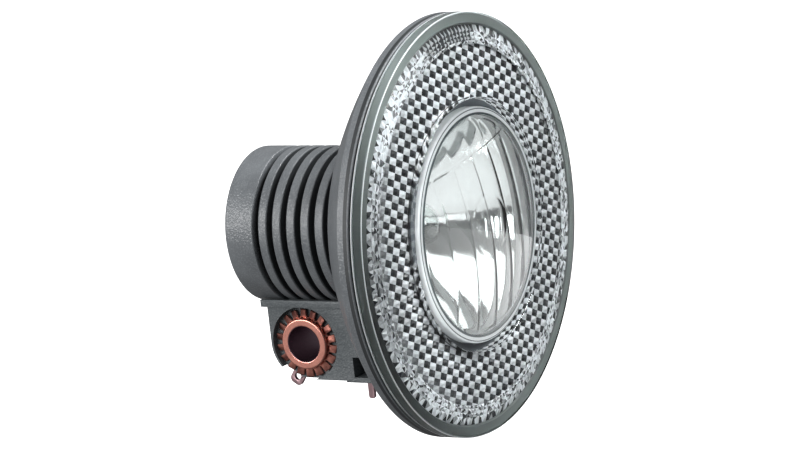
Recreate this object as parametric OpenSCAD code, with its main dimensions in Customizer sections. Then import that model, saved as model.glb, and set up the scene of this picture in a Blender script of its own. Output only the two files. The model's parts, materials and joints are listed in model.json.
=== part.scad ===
// Bicycle headlight with a wide retro-reflecting ring, for a dynamo lead.
// Origin: centre of the bracket bore in the foot. +Z up, the light leaves along -Y.
// The lamp's own pieces are turned profiles: radius across, depth h along the lamp axis,
// h = 0 at the front of the clear flange, positive towards the light.

/* [Front ring] */
// Outside diameter of the clear flange
flange_d = 80; // [76:0.5:90]
// Thickness of the flange at its edge
flange_t = 2.4; // [1.8:0.1:3.2]
// Width of the flat band at the flange edge
lip_w = 2.1; // [1.2:0.1:3]
// Width of the bevel inside the flat band
bevel_w = 2.8; // [1.6:0.1:4]
// Height of the bevel
bevel_rise = 0.8; // [0.4:0.1:1.4]
// Width of the dark groove between lens and ring
lens_gap = 1.6; // [1.2:0.1:2.4]
// Rise of the ring face from the bevel to the opening
ring_rise = 0.7; // [0.2:0.1:1.4]
// Depth of the prism tips behind the flange front
prism_back = 2.2; // [1.8:0.1:2.8]
// Height of the prisms on the back of the ring
prism_depth = 1.1; // [0.6:0.1:1.3]
// Spacing of the prisms along the long side of a cell
prism_pitch_u = 4.2; // [3.4:0.1:6]
// Spacing of the prisms along the short side of a cell
prism_pitch_v = 2.62; // [2.2:0.02:4]
// Turn of the prism grid about the lamp axis, degrees
prism_turn = -24; // [-45:1:45]
// Thickness of the dark plate behind the prisms
backing_t = 1.4; // [1:0.1:2]
// Thickness of the skirt
skirt_t = 1.2; // [0.8:0.1:1.6]

/* [Lens] */
// Diameter of the lens
lens_d = 44.4; // [42:0.2:50]
// Height of the lens rim in front of the flange
lens_rim_h = 1.3; // [0.6:0.1:2.4]
// Height of the dome above its rim
lens_crown = 3.4; // [2:0.1:6]
// Thickness of the lens
lens_t = 2.2; // [1.6:0.1:2.6]
// Thickness of the lens skirt
lens_skirt_t = 1.9; // [1.4:0.1:2.4]
// Spacing of the flutes and pillows on the inside
flute_pitch = 6.3; // [4:0.1:7]
// Depth of the flutes
flute_depth = 0.25; // [0.15:0.05:0.5]
// Depth of the pillows above the flutes
pillow_depth = 0.4; // [0.2:0.05:0.6]
// Height over the lamp axis where the flutes end and the pillows start
flute_top = 13.3; // [10:0.1:14]
// Turn of the lens pattern about the lamp axis, degrees
lens_turn = 8; // [-20:1:20]

/* [Reflector and bulb] */
// Depth of the bowl from its front edge to its vertex
bowl_depth = 16.35; // [15.6:0.05:17]
// Wall of the bowl
bowl_wall = 1.4; // [1:0.1:1.8]
// Thickness of the flange round the front of the bowl
bowl_flange_t = 1.4; // [1:0.1:2]
// Bore of the neck that takes the bulb
neck_d = 10; // [9.4:0.1:11]
// Length of the neck behind the bowl
neck_l = 4.2; // [3.4:0.1:5]
// Diameter of the bulb's glass
glass_d = 7.8; // [6.4:0.1:8.4]
// Wall of the glass
glass_wall = 0.6; // [0.4:0.1:0.9]
// Reach of the glass in front of the bulb's collar
glass_l = 15.5; // [13:0.5:17]
// Diameter of the bulb's collar
collar_d = 13.5; // [12.6:0.1:14]
// Thickness of the collar
collar_t = 1; // [0.7:0.1:1.4]
// Diameter of the bulb's cap
bulb_cap_d = 9.3; // [8.4:0.1:9.8]
// Length of the cap behind the collar
bulb_cap_l = 6.6; // [6:0.1:7]
// Length of the insulating bead at the end of the cap
bead_l = 1; // [0.6:0.1:1.2]
// Height of the end contact
tip_l = 0.6; // [0.4:0.1:0.8]
// Length of the crimp round the foot of the glass
crimp_l = 2; // [1.6:0.1:2.4]
// Length of the filament's coil
coil_l = 2.6; // [2:0.1:3]
// Thickness of the ring that holds the bulb
retainer_t = 1.35; // [1:0.05:1.5]
// Length of the ring's grip on the neck
retainer_grip = 2.6; // [2:0.1:3]

/* [Housing] */
// Diameter of the barrel
barrel_d = 30.2; // [29.6:0.1:32]
// Distance from the flange front to the rear end
rear_reach = 46.5; // [45.8:0.1:50]
// Distance from the flange front to the start of the bell
bell_start = 22.3; // [20:0.1:22.6]
// Bulge of the bell behind a straight cone
bell_bulge = 1; // [0.4:0.1:2]
// Length of the straight rim in front of the bell
rim_l = 2.4; // [1.6:0.1:4]
// Gap between housing and flange, closed by the seal
seal_gap = 0.4; // [0.3:0.05:0.8]
// Depth of the seal's groove in the rim
seal_depth = 0.8; // [0.5:0.1:1.2]
// Width of the seal
seal_w = 1.1; // [0.8:0.1:1.2]
// Wall of the bell
bell_wall = 2; // [1.6:0.1:2.6]
// Distance from the flange front to the first groove
groove_start = 22.8; // [22.7:0.1:23.4]
// Spacing of the grooves
groove_pitch = 3.18; // [3:0.02:3.3]
// Width of a groove
groove_w = 1.36; // [1:0.02:1.7]
// Depth of a groove
groove_depth = 2.1; // [1.2:0.1:2.3]
// Wall left under the grooves
barrel_wall = 1.6; // [1.2:0.1:2]
// Thickness of the wall behind the bulb
bulkhead_t = 1.7; // [1.4:0.1:2.2]

/* [Foot] */
// Height of the lamp axis over the bracket bore
axis_h = 22; // [21:0.1:26]
// Distance from the bracket bore forward to the flange front
face_reach = 35.8; // [34:0.1:37.4]
// Width of the foot
foot_w = 16; // [14.6:0.1:19]
// Distance from the bore to the rear of the foot
foot_rear = 7.7; // [7.4:0.1:9]
// Distance from the bore to the front of the foot
foot_front = 18.6; // [16:0.1:20]
// Distance from the bore to the underside
foot_drop = 7.1; // [6.9:0.1:9]
// Radius of the lower rear corner
corner_r = 7; // [5:0.1:7.2]
// Height of the ledge's upper side over the bore
ledge_top = 8.6; // [8.2:0.1:9.2]
// Thickness of the ledge
ledge_t = 1.4; // [1:0.1:2]
// Overhang of the ledge behind the foot
ledge_over = 1.25; // [0.6:0.05:2]
// Overhang of the ledge at each side
ledge_side = 0.3; // [0.1:0.1:1]
// Distance from the bore forward to the step in the underside
step_reach = 8.6; // [8:0.1:10]
// Height of the step in the underside
step_h = 0.3; // [0.2:0.1:0.8]
// Distance from the bore forward to the side pocket
pocket_reach = 10.5; // [10:0.1:12]
// Length of the side pocket
pocket_l = 5.6; // [3:0.1:6]
// Height of the side pocket
pocket_h = 4; // [3:0.1:4.6]
// Floor left under the side pocket
pocket_floor = 1; // [0.8:0.1:1.6]
// Depth of the side pocket
pocket_depth = 3.4; // [2:0.1:3.6]
// Diameter of the foot's screws
screw_d = 2.5; // [2:0.1:3]
// Length of the foot's screws under the head
screw_l = 9; // [7:0.5:10]
// Diameter of the screws' heads
screw_head_d = 3.9; // [3.4:0.1:4.4]
// Height of the screws' heads
screw_head_t = 1.3; // [1:0.1:1.6]
// Width of the foot left between the bush and the first screw
screw_land = 0.9; // [0.6:0.1:1.2]
// Spacing of the screws
screw_pitch = 5; // [4.6:0.1:5.6]

/* [Bracket bush] */
// Bore for the bracket's bolt
bore_d = 7; // [6.4:0.1:7.4]
// Wall of the bush
bush_wall = 0.7; // [0.5:0.05:0.9]
// Diameter of the bush's flanges
bush_flange_d = 10; // [9.6:0.1:10.6]
// Thickness of the bush's flanges
bush_flange_t = 0.8; // [0.5:0.1:1.2]
// Diameter over the washer's teeth
washer_d = 13.5; // [12.8:0.1:13.9]
// Thickness of the washer
washer_t = 0.9; // [0.6:0.1:1.2]
// Number of teeth on the washer
washer_teeth = 18; // [12:1:20]
// Twist of the teeth, degrees
tooth_twist = 20; // [0:1:30]
// Diameter of the recess for the washer
recess_d = 14.5; // [14.1:0.1:14.8]
// Depth of the recess
recess_depth = 1.3; // [1:0.1:1.6]

/* [Terminals] */
// Width of the blades
blade_w = 2.8; // [2.2:0.1:3]
// Thickness of the blades
blade_t = 0.8; // [0.5:0.1:1]
// Distance of the blades from the middle of the foot
blade_x = 3.5; // [3.2:0.1:3.7]
// Hole in the blades
blade_hole_d = 1.4; // [1:0.1:1.6]
// Tilt of the rear blade from straight down, degrees
ground_tilt = 34; // [28:1:40]
// Reach of the rear blade from the bore
ground_reach = 11.1; // [10:0.1:13]
// Space for a lead's socket at each side of the rear blade
socket_side = 0.8; // [0.6:0.1:1.2]
// Space for a lead's socket on the inner face of the rear blade
socket_deep = 1.6; // [1.2:0.1:2]
// Distance from the bore forward to the front blade
live_y = 6.7; // [6.2:0.1:7]
// Reach of the front blade's pin under the foot
live_reach = 6.7; // [4:0.1:7]
// Width of the front blade's pin
pin_w = 1.4; // [1:0.1:1.8]
// Rounding of the blades' ends, as a share of their width
blade_round = 0.35; // [0.15:0.05:0.45]
// Thickness of the contact leaves
leaf_t = 0.4; // [0.3:0.05:0.5]

/* [Switch] */
// Diameter of the rotor's shaft
shaft_d = 5.2; // [4.4:0.1:6]
// Floor of the cap
cap_floor = 2.6; // [2.2:0.1:3]
// Radius of the cap's rear edge
cap_round = 1.8; // [1:0.1:2.4]
// Depth of the finger recess in the cap
grip_depth = 1.2; // [0.6:0.1:1.4]
// Width of the bar left across the finger recess
grip_bar = 5; // [3:0.2:8]
// Diameter of the finger recess
grip_d = 21; // [16:0.5:23]
// Turn from off to on, degrees
switch_turn = 60; // [45:1:70]
// Thickness of the copper bridge
bridge_t = 0.5; // [0.3:0.1:0.8]
// Margin of the bridge round the contacts that it joins
bridge_margin = 1.4; // [1:0.1:1.8]
// Width of the clip on the shaft outside the shaft
clip_w = 1.8; // [1.4:0.1:2.2]
// Thickness of the clip
clip_t = 0.6; // [0.4:0.1:0.8]
// Diameter of the detent ball
ball_d = 2; // [1.6:0.1:2.4]

/* [Fits] */
// Gap between pieces that move past each other
run_gap = 0.3; // [0.25:0.05:0.4]
// Gap between pieces that seat in each other
seat_gap = 0.1; // [0.05:0.05:0.15]
// Radial play of the rotor's shaft
shaft_play = 0.08; // [0.04:0.01:0.1]

/* [Hidden] */
$fn = 96;
flange_r = flange_d / 2;
barrel_r = barrel_d / 2;
lens_r = lens_d / 2;
ring_bore_r = lens_r + lens_gap;

// Depths of the front unit
bevel_r = flange_r - lip_w - bevel_w;
ring_face_h = bevel_rise + ring_rise;
backing_h = -prism_back - seat_gap;
bowl_front_h = backing_h - backing_t - seat_gap;
lens_seat_h = bowl_front_h + seat_gap;
bowl_r = lens_r - lens_skirt_t;
focal = bowl_r * bowl_r / (4 * bowl_depth);
vertex_h = bowl_front_h - bowl_depth;
neck_r = neck_d / 2;
neck_front_h = vertex_h + neck_r * neck_r / (4 * focal);
collar_h = neck_front_h - neck_l;
bulb_cap_h = collar_h - collar_t - bulb_cap_l;
bead_h = bulb_cap_h - bead_l;
tip_h = bead_h - tip_l;
focus_h = vertex_h + focal;
neck_outer_r = neck_r + bowl_wall + 0.4;
retainer_r = max(neck_outer_r, collar_d / 2) + seat_gap + retainer_t;
skirt_r = flange_r - lip_w - 0.5;

// Depths of the housing
rim_h = -flange_t - seal_gap;
crease_h = rim_h - rim_l;
bell_h = -bell_start;
rim_bore_r = skirt_r + run_gap;
groove_r = barrel_r - groove_depth;
chamber_r = groove_r - barrel_wall;
groove_count = 6;
cap_h = -(groove_start + (groove_count - 1) * groove_pitch + groove_w);
fin_end_h = cap_h + groove_w;
bulkhead_h = fin_end_h + bulkhead_t;
rear_h = -rear_reach;
cap_floor_h = rear_h + cap_floor;
spigot_h = cap_floor_h + run_gap;

// The bell is an arc through the ends of the cone, bulged by bell_bulge
bell_chord = [flange_r - barrel_r, crease_h - bell_h];
bell_len = norm(bell_chord);
bell_arc = bell_len * bell_len / (8 * bell_bulge) + bell_bulge / 2;
bell_out = [bell_chord[1], -bell_chord[0]] / bell_len;
bell_mid = [barrel_r, bell_h] + bell_chord / 2;
bell_centre = bell_mid - bell_out * (bell_arc - bell_bulge);

// Depth of the bell's surface, moved in by inset, at a radius
function bell_depth(r, inset) =
    bell_centre[1] - sqrt(pow(bell_arc - inset, 2) - pow(r - bell_centre[0], 2));

// The ring's skirt ends just clear of the inside of the bell
skirt_end_h = bell_depth(skirt_r, bell_wall) + 1.5 * run_gap;

// Contacts
contact_end_h = fin_end_h - 1.3;
bridge_h = contact_end_h - run_gap;
rotor_h = bridge_h - bridge_t;
carrier_t = 1.9;
carrier_h = bulkhead_h + seat_gap;
carrier_top_h = carrier_h + carrier_t;
leaf_h = tip_h - 0.2 - leaf_t;
shaft_end_h = carrier_h + clip_t + 0.8;
leaf_post_x = chamber_r - 3.2;
leaf_w = 3;
live_low = sqrt(pow(chamber_r - 0.8, 2) - pow(blade_x + blade_t / 2, 2));
live_bar_z = [-live_low, -live_low + 2.5];
ground_top_z = -bulb_cap_d / 2 - 0.15 - leaf_t;
ground_leg_h = carrier_top_h + 0.2;
contact_angle = 180;
live_angle = 360 - atan2(live_low - 1.25, blade_x);
bridge_span = live_angle - contact_angle + 16;
ball_angle = 20;
ball_ring_r = 8.4;
ball_gap = 0.1;
ball_h = rotor_h + ball_gap + ball_d / 2;

// Foot
bush_r = bore_d / 2 + bush_wall;
bush_half = foot_w / 2 - recess_depth + washer_t + bush_flange_t;
screw_start = bush_r + screw_land + screw_d / 2;
screw_y = [screw_start, screw_start + screw_pitch];
screw_seat = sqrt(pow(chamber_r, 2) - pow(screw_head_d / 2, 2));

grey = "#5b5d60";
dark = "#222427";
clear = "#c9d6d4";
silver = "#dfe3e4";
copper = "#c8836a";

// Moves children from the lamp's own axes to their place over the bracket bore
module on_axis() {
    translate([0, -face_reach, axis_h]) rotate([90, 0, 0]) children();
}

// A ring of rectangular section between two radii and two depths
module band(r_in, r_out, h_low, h_high) {
    translate([r_in, h_low]) square([r_out - r_in, h_high - h_low]);
}

// The area inside the bell's arc, moved in by inset, between two depths and out to r_max
module bell_area(inset, r_max, h_low, h_high) {
    intersection() {
        translate(bell_centre) circle(r = bell_arc - inset, $fn = 360);
        band(0, r_max, h_low, h_high);
    }
}

// A flat strip standing on a plane x = const, given by two corners in y and z
module strip(x, y, z) {
    translate([x - blade_t / 2, y[0], z[0]]) cube([blade_t, y[1] - y[0], z[1] - z[0]]);
}

// The same strip with a gap all round, for the slot that it lies in
module strip_slot(x, y, z) {
    g = seat_gap;
    translate([x - blade_t / 2 - g, y[0] - g, z[0] - g])
        cube([blade_t + 2 * g, y[1] - y[0] + 2 * g, z[1] - z[0] + 2 * g]);
}

// Housing: grooved barrel, bell, rim and the wall that carries the switch
module housing_profile() {
    difference() {
        union() {
            band(0, groove_r, spigot_h, fin_end_h + groove_w);
            band(0, barrel_r, fin_end_h, bell_h);
            bell_area(0, flange_r, bell_h, crease_h);
            band(0, flange_r, crease_h, rim_h);
        }
        for (i = [0 : groove_count - 2]) {
            front = -groove_start - i * groove_pitch;
            band(groove_r, barrel_r + 1, front - groove_w, front);
        }
        band(0, chamber_r, bulkhead_h, rim_h + 1);
        bell_area(bell_wall, rim_bore_r, bell_h, crease_h + 0.01);
        band(0, rim_bore_r, crease_h, rim_h + 1);
        band(0, chamber_r, spigot_h - 1, fin_end_h);
        seal_groove();
    }
}

// Section of the groove for the seal in the front of the rim
module seal_groove() {
    r = (rim_bore_r + flange_r) / 2;
    band(r - seal_w / 2, r + seal_w / 2, rim_h - seal_depth, rim_h + 1);
}

// Axis of the detent ball
module at_ball() {
    rotate([0, 0, ball_angle]) translate([ball_ring_r, 0, 0]) children();
}

module housing() {
    boss_h = ball_h - 0.2;
    color(grey) difference() {
        on_axis() difference() {
            union() {
                rotate_extrude() housing_profile();
                at_ball() translate([0, 0, boss_h]) cylinder(d = ball_d + 1.8, h = fin_end_h - boss_h + 0.5);
            }
            translate([0, 0, fin_end_h - 1]) cylinder(d = shaft_d + 2 * shaft_play, h = bulkhead_t + 2);
            at_ball() translate([0, 0, boss_h - 1]) cylinder(d = ball_d + 0.2, h = bulkhead_h - 0.5 - boss_h + 1);
            centre_leg(seat_gap);
        }
        live_solid(seat_gap);
        ground_solid(seat_gap);
        for (y = screw_y)
            translate([0, -y, axis_h - barrel_r - 1]) cylinder(d = screw_d + 0.4, h = barrel_r);
    }
}

// Foot: outline drawn from the side, y to the rear and z up
module foot_outline() {
    top = ledge_top - ledge_t / 2;
    translate([-foot_front, -foot_drop]) square([foot_front + foot_rear - corner_r, foot_drop + top]);
    translate([-foot_front, -foot_drop + corner_r])
        square([foot_front + foot_rear, foot_drop - corner_r + top]);
    translate([foot_rear - corner_r, -foot_drop + corner_r]) circle(r = corner_r);
    translate([-foot_front, -foot_drop - step_h]) square([foot_front - step_reach, 2 * step_h]);
}

// Space of the barrel, turning cap and bell that the foot's top is cut to
module saddle() {
    on_axis() rotate_extrude() union() {
        band(0, barrel_r + seat_gap, fin_end_h, bell_h);
        band(0, barrel_r + run_gap, rear_h - 5, fin_end_h + 0.01);
        bell_area(-seat_gap, flange_r + seat_gap, bell_h, crease_h);
    }
}

// Space round the rear blade for a lead's socket, open to the near side of the foot
module socket_space() {
    start = washer_d / 2 + 2 * seat_gap;
    outside = foot_w / 2 + ledge_side + 1;
    rotate([ground_tilt, 0, 0]) translate([-outside, -blade_w / 2 - socket_side, -ground_reach - 2])
        cube([outside - blade_x + socket_deep, blade_w + 2 * socket_side, ground_reach + 2 - start]);
}

module mounting_foot() {
    ledge_rear = foot_rear + ledge_over;
    ledge_w = foot_w + 2 * ledge_side;
    pocket_z = -foot_drop - step_h + pocket_floor;
    color(grey) difference() {
        union() {
            translate([-foot_w / 2, 0, 0]) rotate([90, 0, 90]) linear_extrude(foot_w) foot_outline();
            translate([-ledge_w / 2, -foot_front, ledge_top - ledge_t])
                cube([ledge_w, foot_front + ledge_rear, ledge_t]);
        }
        saddle();
        rotate([0, 90, 0]) cylinder(r = bush_r + seat_gap, h = 2 * foot_w, center = true);
        for (side = [-1, 1])
            translate([side * (foot_w / 2 - recess_depth / 2 + 0.5), 0, 0]) rotate([0, 90, 0])
                cylinder(d = recess_d, h = recess_depth + 1, center = true);
        for (side = [-1, 1])
            translate([side * (foot_w / 2 - pocket_depth / 2 + 0.5), -pocket_reach - pocket_l / 2,
                    pocket_z + pocket_h / 2])
                cube([pocket_depth + 1, pocket_l, pocket_h], center = true);
        live_solid(seat_gap);
        ground_solid(seat_gap);
        socket_space();
        for (y = screw_y)
            translate([0, -y, axis_h - screw_seat - screw_l - 0.5]) cylinder(d = screw_d, h = screw_l);
    }
}

module foot_screws() {
    head_z = axis_h - screw_seat + seat_gap;
    slot_l = screw_head_d * 0.56;
    slot_w = screw_head_d * 0.13;
    slot_depth = screw_head_t / 2;
    color(silver) for (y = screw_y)
        translate([0, -y, head_z]) difference() {
            union() {
                cylinder(d = screw_head_d, h = screw_head_t);
                translate([0, 0, -screw_l]) cylinder(d = screw_d - 0.1, h = screw_l + 0.1);
            }
            for (turn = [0, 90])
                rotate([0, 0, turn]) translate([-slot_l / 2, -slot_w / 2, screw_head_t - slot_depth])
                    cube([slot_l, slot_w, screw_head_t]);
        }
}

// Bush: tube with a flange on each side, the far one rolled over the washer
module bracket_bush() {
    color(copper) rotate([0, 90, 0]) rotate_extrude() {
        band(bore_d / 2, bush_r, -bush_half, bush_half);
        band(bore_d / 2, bush_flange_d / 2, -bush_half, -bush_half + bush_flange_t);
        band(bore_d / 2, bush_flange_d / 2, bush_half - bush_flange_t, bush_half);
    }
}

// Toothed washer, flat on z = 0, with each tooth twisted about its own radius
module toothed_washer() {
    r_in = bush_r + seat_gap;
    r_body = washer_d / 2 - 1.5;
    tooth_w = PI * washer_d / washer_teeth * 0.55;
    thin = washer_t * 0.55;
    difference() {
        union() {
            cylinder(r = r_body, h = washer_t);
            intersection() {
                for (i = [0 : washer_teeth - 1])
                    rotate([0, 0, 360 / washer_teeth * i]) translate([r_body - 0.3, 0, washer_t / 2])
                        rotate([tooth_twist, 0, 0])
                            translate([0, -tooth_w / 2, -thin / 2]) cube([3, tooth_w, thin]);
                cylinder(d = washer_d, h = washer_t);
            }
        }
        translate([0, 0, -1]) cylinder(r = r_in, h = washer_t + 2);
    }
}

module ground_washer() {
    color(copper) translate([-foot_w / 2 + recess_depth, 0, 0]) rotate([0, -90, 0]) toothed_washer();
}

module clamp_washer() {
    color(copper) translate([foot_w / 2 - recess_depth, 0, 0]) rotate([0, 90, 0]) toothed_washer();
}

// A blade in the plane x = 0 that hangs from the origin, with its lower corners rounded
module hanging_blade(w, l) {
    r = blade_round * w;
    translate([-blade_t / 2, 0, 0]) rotate([90, 0, 90]) linear_extrude(blade_t) {
        translate([-w / 2, r - l]) square([w, l - r]);
        translate([r - w / 2, -l]) square([w - 2 * r, l]);
        for (side = [-1, 1]) translate([side * (w / 2 - r), r - l]) circle(r = r);
    }
}

// Front blade: a pin under the foot, a strip up through foot and barrel, and a bar back to the switch.
// grow widens it into its slot.
module live_solid(grow) {
    y = [-live_y - blade_w / 2, -live_y + blade_w / 2];
    z = [-foot_drop / 2, axis_h + live_bar_z[1]];
    bar_y = [y[0], -face_reach - contact_end_h];
    bar_z = [axis_h + live_bar_z[0], axis_h + live_bar_z[1]];
    pin_l = foot_drop + live_reach;
    if (grow > 0) {
        strip_slot(blade_x, y, z);
        strip_slot(blade_x, bar_y, bar_z);
        strip_slot(blade_x, [-live_y - pin_w / 2, -live_y + pin_w / 2], [-pin_l, 0]);
    } else {
        strip(blade_x, y, z);
        strip(blade_x, bar_y, bar_z);
        translate([blade_x, -live_y, 0]) hanging_blade(pin_w, pin_l);
    }
}

module live_terminal() {
    color(copper) union() live_solid(0);
}

// Ground strip: ring round the bush, holed blade at the lower rear, leg up to the leaf
module ground_solid(grow) {
    ring_r = bush_r + 1.6;
    leg_y = -face_reach - ground_leg_h;
    slot_l = ground_reach + 1;
    difference() {
        translate([-blade_x, 0, 0]) union() {
            rotate([0, 90, 0]) cylinder(r = ring_r + grow, h = blade_t + 2 * grow, center = true);
            rotate([ground_tilt, 0, 0]) {
                if (grow > 0) translate([-blade_t / 2 - grow, -blade_w / 2 - grow, -slot_l])
                    cube([blade_t + 2 * grow, blade_w + 2 * grow, slot_l]);
                else hanging_blade(blade_w, ground_reach);
            }
            translate([-blade_t / 2 - grow, leg_y - blade_w - grow, 0])
                cube([blade_t + 2 * grow, blade_w + 2 * grow, axis_h + ground_top_z + grow]);
        }
        if (grow == 0) {
            rotate([0, 90, 0]) cylinder(r = bush_r + seat_gap, h = 3 * foot_w, center = true);
            rotate([ground_tilt, 0, 0]) translate([-blade_x, 0, -ground_reach + 0.6 * blade_w])
                rotate([0, 90, 0]) cylinder(d = blade_hole_d, h = 3 * blade_t, center = true);
        }
    }
}

module ground_strip() {
    color(copper) ground_solid(0);
}

// Leaf on top of the ground strip that runs forward under the bulb's cap
module ground_leaf() {
    color(copper) on_axis() translate([0, ground_top_z, 0]) rotate([-90, 0, 0]) mirror([0, 1, 0])
        linear_extrude(leaf_t) union() {
            translate([-blade_x - blade_t / 2, ground_leg_h])
                square([blade_x + blade_t / 2 + leaf_w / 2, blade_w]);
            translate([-leaf_w / 2, ground_leg_h]) square([leaf_w, collar_h - collar_t - 1.6 - ground_leg_h]);
        }
}

// Insulating disc in the barrel, with the post that the centre leaf lies on
module contact_carrier() {
    color(dark) difference() {
        on_axis() difference() {
            union() {
                rotate_extrude() band(shaft_d / 2 + clip_w + 0.8, chamber_r - seat_gap, carrier_h, carrier_top_h);
                translate([-leaf_post_x - 1.6, -leaf_w / 2 - 0.8, carrier_h])
                    cube([3.2, leaf_w + 1.6, leaf_h - carrier_h]);
            }
            centre_leg(seat_gap);
        }
        live_solid(seat_gap);
    }
}

// Rear leg of the centre contact
module centre_leg(grow) {
    translate([-leaf_post_x - leaf_t / 2 - grow, -leaf_w / 2 - grow, contact_end_h - grow])
        cube([leaf_t + 2 * grow, leaf_w + 2 * grow, leaf_h + leaf_t - contact_end_h + 2 * grow]);
}

module centre_contact() {
    color(copper) on_axis() union() {
        centre_leg(0);
        translate([-leaf_post_x - 1.4, -leaf_w / 2, leaf_h]) cube([leaf_post_x + 2.8, leaf_w, leaf_t]);
    }
}

module rim_seal() {
    r = (rim_bore_r + flange_r) / 2;
    w = seal_w - 2 * seat_gap;
    color(dark) on_axis() rotate_extrude()
        band(r - w / 2, r + w / 2, rim_h - seal_depth, rim_h + seal_gap - seat_gap);
}

module detent_ball() {
    color(silver) on_axis() at_ball() translate([0, 0, ball_h]) sphere(d = ball_d);
}

module detent_spring() {
    low = ball_h + ball_d / 2 + 0.05;
    wire = 0.3;
    color(silver) on_axis() at_ball() translate([0, 0, low])
        linear_extrude(bulkhead_h - 0.5 - low, twist = 360 * 3, slices = 36, $fn = 8)
            translate([ball_d / 2 - wire, 0]) circle(d = wire);
}

// Clear ring: flange, bevel, slightly dished face and the skirt that enters the housing
module ring_profile() {
    polygon([
        [skirt_r - skirt_t, -prism_back],
        [skirt_r - skirt_t, skirt_end_h],
        [skirt_r, skirt_end_h],
        [skirt_r, -flange_t],
        [flange_r, -flange_t],
        [flange_r, 0],
        [flange_r - lip_w, 0],
        [bevel_r, bevel_rise],
        [ring_bore_r, ring_face_h],
        [ring_bore_r, -prism_back]
    ]);
}

// Upright grooves of V section across the back of the ring, at one pitch
module vee_row(pitch) {
    n = ceil(bevel_r / pitch);
    for (i = [-n : n])
        translate([(i + 0.5) * pitch, 0, -prism_back]) rotate([90, 0, 0])
            linear_extrude(2 * flange_r, center = true)
                polygon([[-pitch / 2, -0.01], [0, prism_depth], [pitch / 2, -0.01]]);
}

module reflector_ring() {
    color(clear) on_axis() difference() {
        rotate_extrude() ring_profile();
        intersection() {
            rotate([0, 0, prism_turn]) union() {
                vee_row(prism_pitch_u);
                rotate([0, 0, 90]) vee_row(prism_pitch_v);
            }
            rotate_extrude() band(ring_bore_r + 0.8, bevel_r, -prism_back - 1, 0);
        }
    }
}

// Dark plate behind the prisms, with a lip that stands between ring and lens
module ring_backing() {
    color(dark) on_axis() rotate_extrude() {
        band(lens_r + seat_gap, skirt_r - skirt_t - seat_gap, backing_h - backing_t, backing_h);
        band(lens_r + seat_gap, ring_bore_r - seat_gap, backing_h - backing_t, -0.6);
    }
}

// Sphere radius of the lens dome over its own rim
lens_edge = 1;
dome_r0 = lens_r - lens_edge;
dome_arc = (dome_r0 * dome_r0 + lens_crown * lens_crown) / (2 * lens_crown);
dome_centre_h = lens_rim_h + lens_crown - dome_arc;

// Places of the flutes across the lens
pattern_r = bowl_r - 0.8;
flute_side = floor(pattern_r / flute_pitch);
flute_x = [for (i = [-flute_side : flute_side - 1]) (i + 0.5) * flute_pitch];
dome_inner = dome_arc - lens_t;

// Radius of an arc that is depth deep over one pitch
function sag_radius(depth) = flute_pitch * flute_pitch / (8 * depth) + depth / 2;

// Upright flutes that follow the inside of the dome
module flutes() {
    minor = sag_radius(flute_depth);
    for (x = flute_x)
        translate([x, 0, dome_centre_h]) rotate([0, 90, 0]) rotate_extrude()
            translate([sqrt(dome_inner * dome_inner - x * x) - minor + flute_depth, 0]) circle(r = minor);
}

// One row of round pillows above the flutes, sunk in the inside of the dome
module pillows() {
    ball = sag_radius(pillow_depth);
    y = flute_top + flute_pitch / 2;
    for (x = flute_x)
        if (norm([x, y]) < pattern_r)
            translate([0, 0, dome_centre_h])
                translate([x, y, sqrt(dome_inner * dome_inner - x * x - y * y)]
                        * (dome_inner - ball + pillow_depth) / dome_inner)
                    sphere(r = ball);
}

// The part of the lens pattern between two heights over the lamp axis
module pattern_zone(low, high) {
    intersection() {
        children();
        translate([-lens_r, low, lens_seat_h]) cube([lens_d, high - low, lens_rim_h + lens_crown - lens_seat_h]);
    }
}

module lens() {
    color(clear) on_axis() difference() {
        rotate_extrude() difference() {
            union() {
                band(0, lens_r, lens_seat_h, lens_rim_h - lens_edge);
                translate([lens_r - lens_edge, lens_rim_h - lens_edge]) circle(r = lens_edge);
                band(0, lens_r - lens_edge, lens_seat_h, lens_rim_h);
                intersection() {
                    translate([0, dome_centre_h]) circle(r = dome_arc, $fn = 360);
                    band(0, dome_r0, lens_rim_h - 0.1, lens_rim_h + lens_crown + 1);
                }
            }
            translate([-lens_d, lens_seat_h - 1]) square([lens_d, lens_d]);
            intersection() {
                translate([0, dome_centre_h]) circle(r = dome_arc - lens_t, $fn = 360);
                band(0, bowl_r, lens_seat_h - 1, lens_rim_h + lens_crown);
            }
        }
        intersection() {
            rotate([0, 0, lens_turn]) union() {
                pattern_zone(-lens_r, flute_top) flutes();
                pattern_zone(flute_top, lens_r) pillows();
            }
            rotate_extrude() band(0, pattern_r, lens_seat_h, lens_rim_h + lens_crown);
        }
    }
}

// Parabola of the bowl, and the same curve moved out along its normal
function bowl_pt(r) = [r, vertex_h + r * r / (4 * focal)];
function bowl_out(r) = let (s = r / (2 * focal), n = [s, -1] / sqrt(1 + s * s)) bowl_pt(r) + n * bowl_wall;

module reflector() {
    steps = 16;
    radii = [for (i = [0 : steps]) neck_r + (bowl_r - neck_r) * i / steps];
    back = [for (i = [steps - 1 : -1 : 0]) if (radii[i] > neck_outer_r) bowl_out(radii[i])];
    flange_end = ring_bore_r + 1;
    color(silver) on_axis() rotate_extrude() polygon(concat(
        [for (r = radii) bowl_pt(r)],
        [[flange_end, bowl_front_h], [flange_end, bowl_front_h - bowl_flange_t]],
        [[bowl_r + bowl_wall, bowl_front_h - bowl_flange_t]],
        back,
        [[neck_outer_r, back[len(back) - 1][1]], [neck_outer_r, collar_h], [neck_r, collar_h]]
    ));
}

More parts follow.
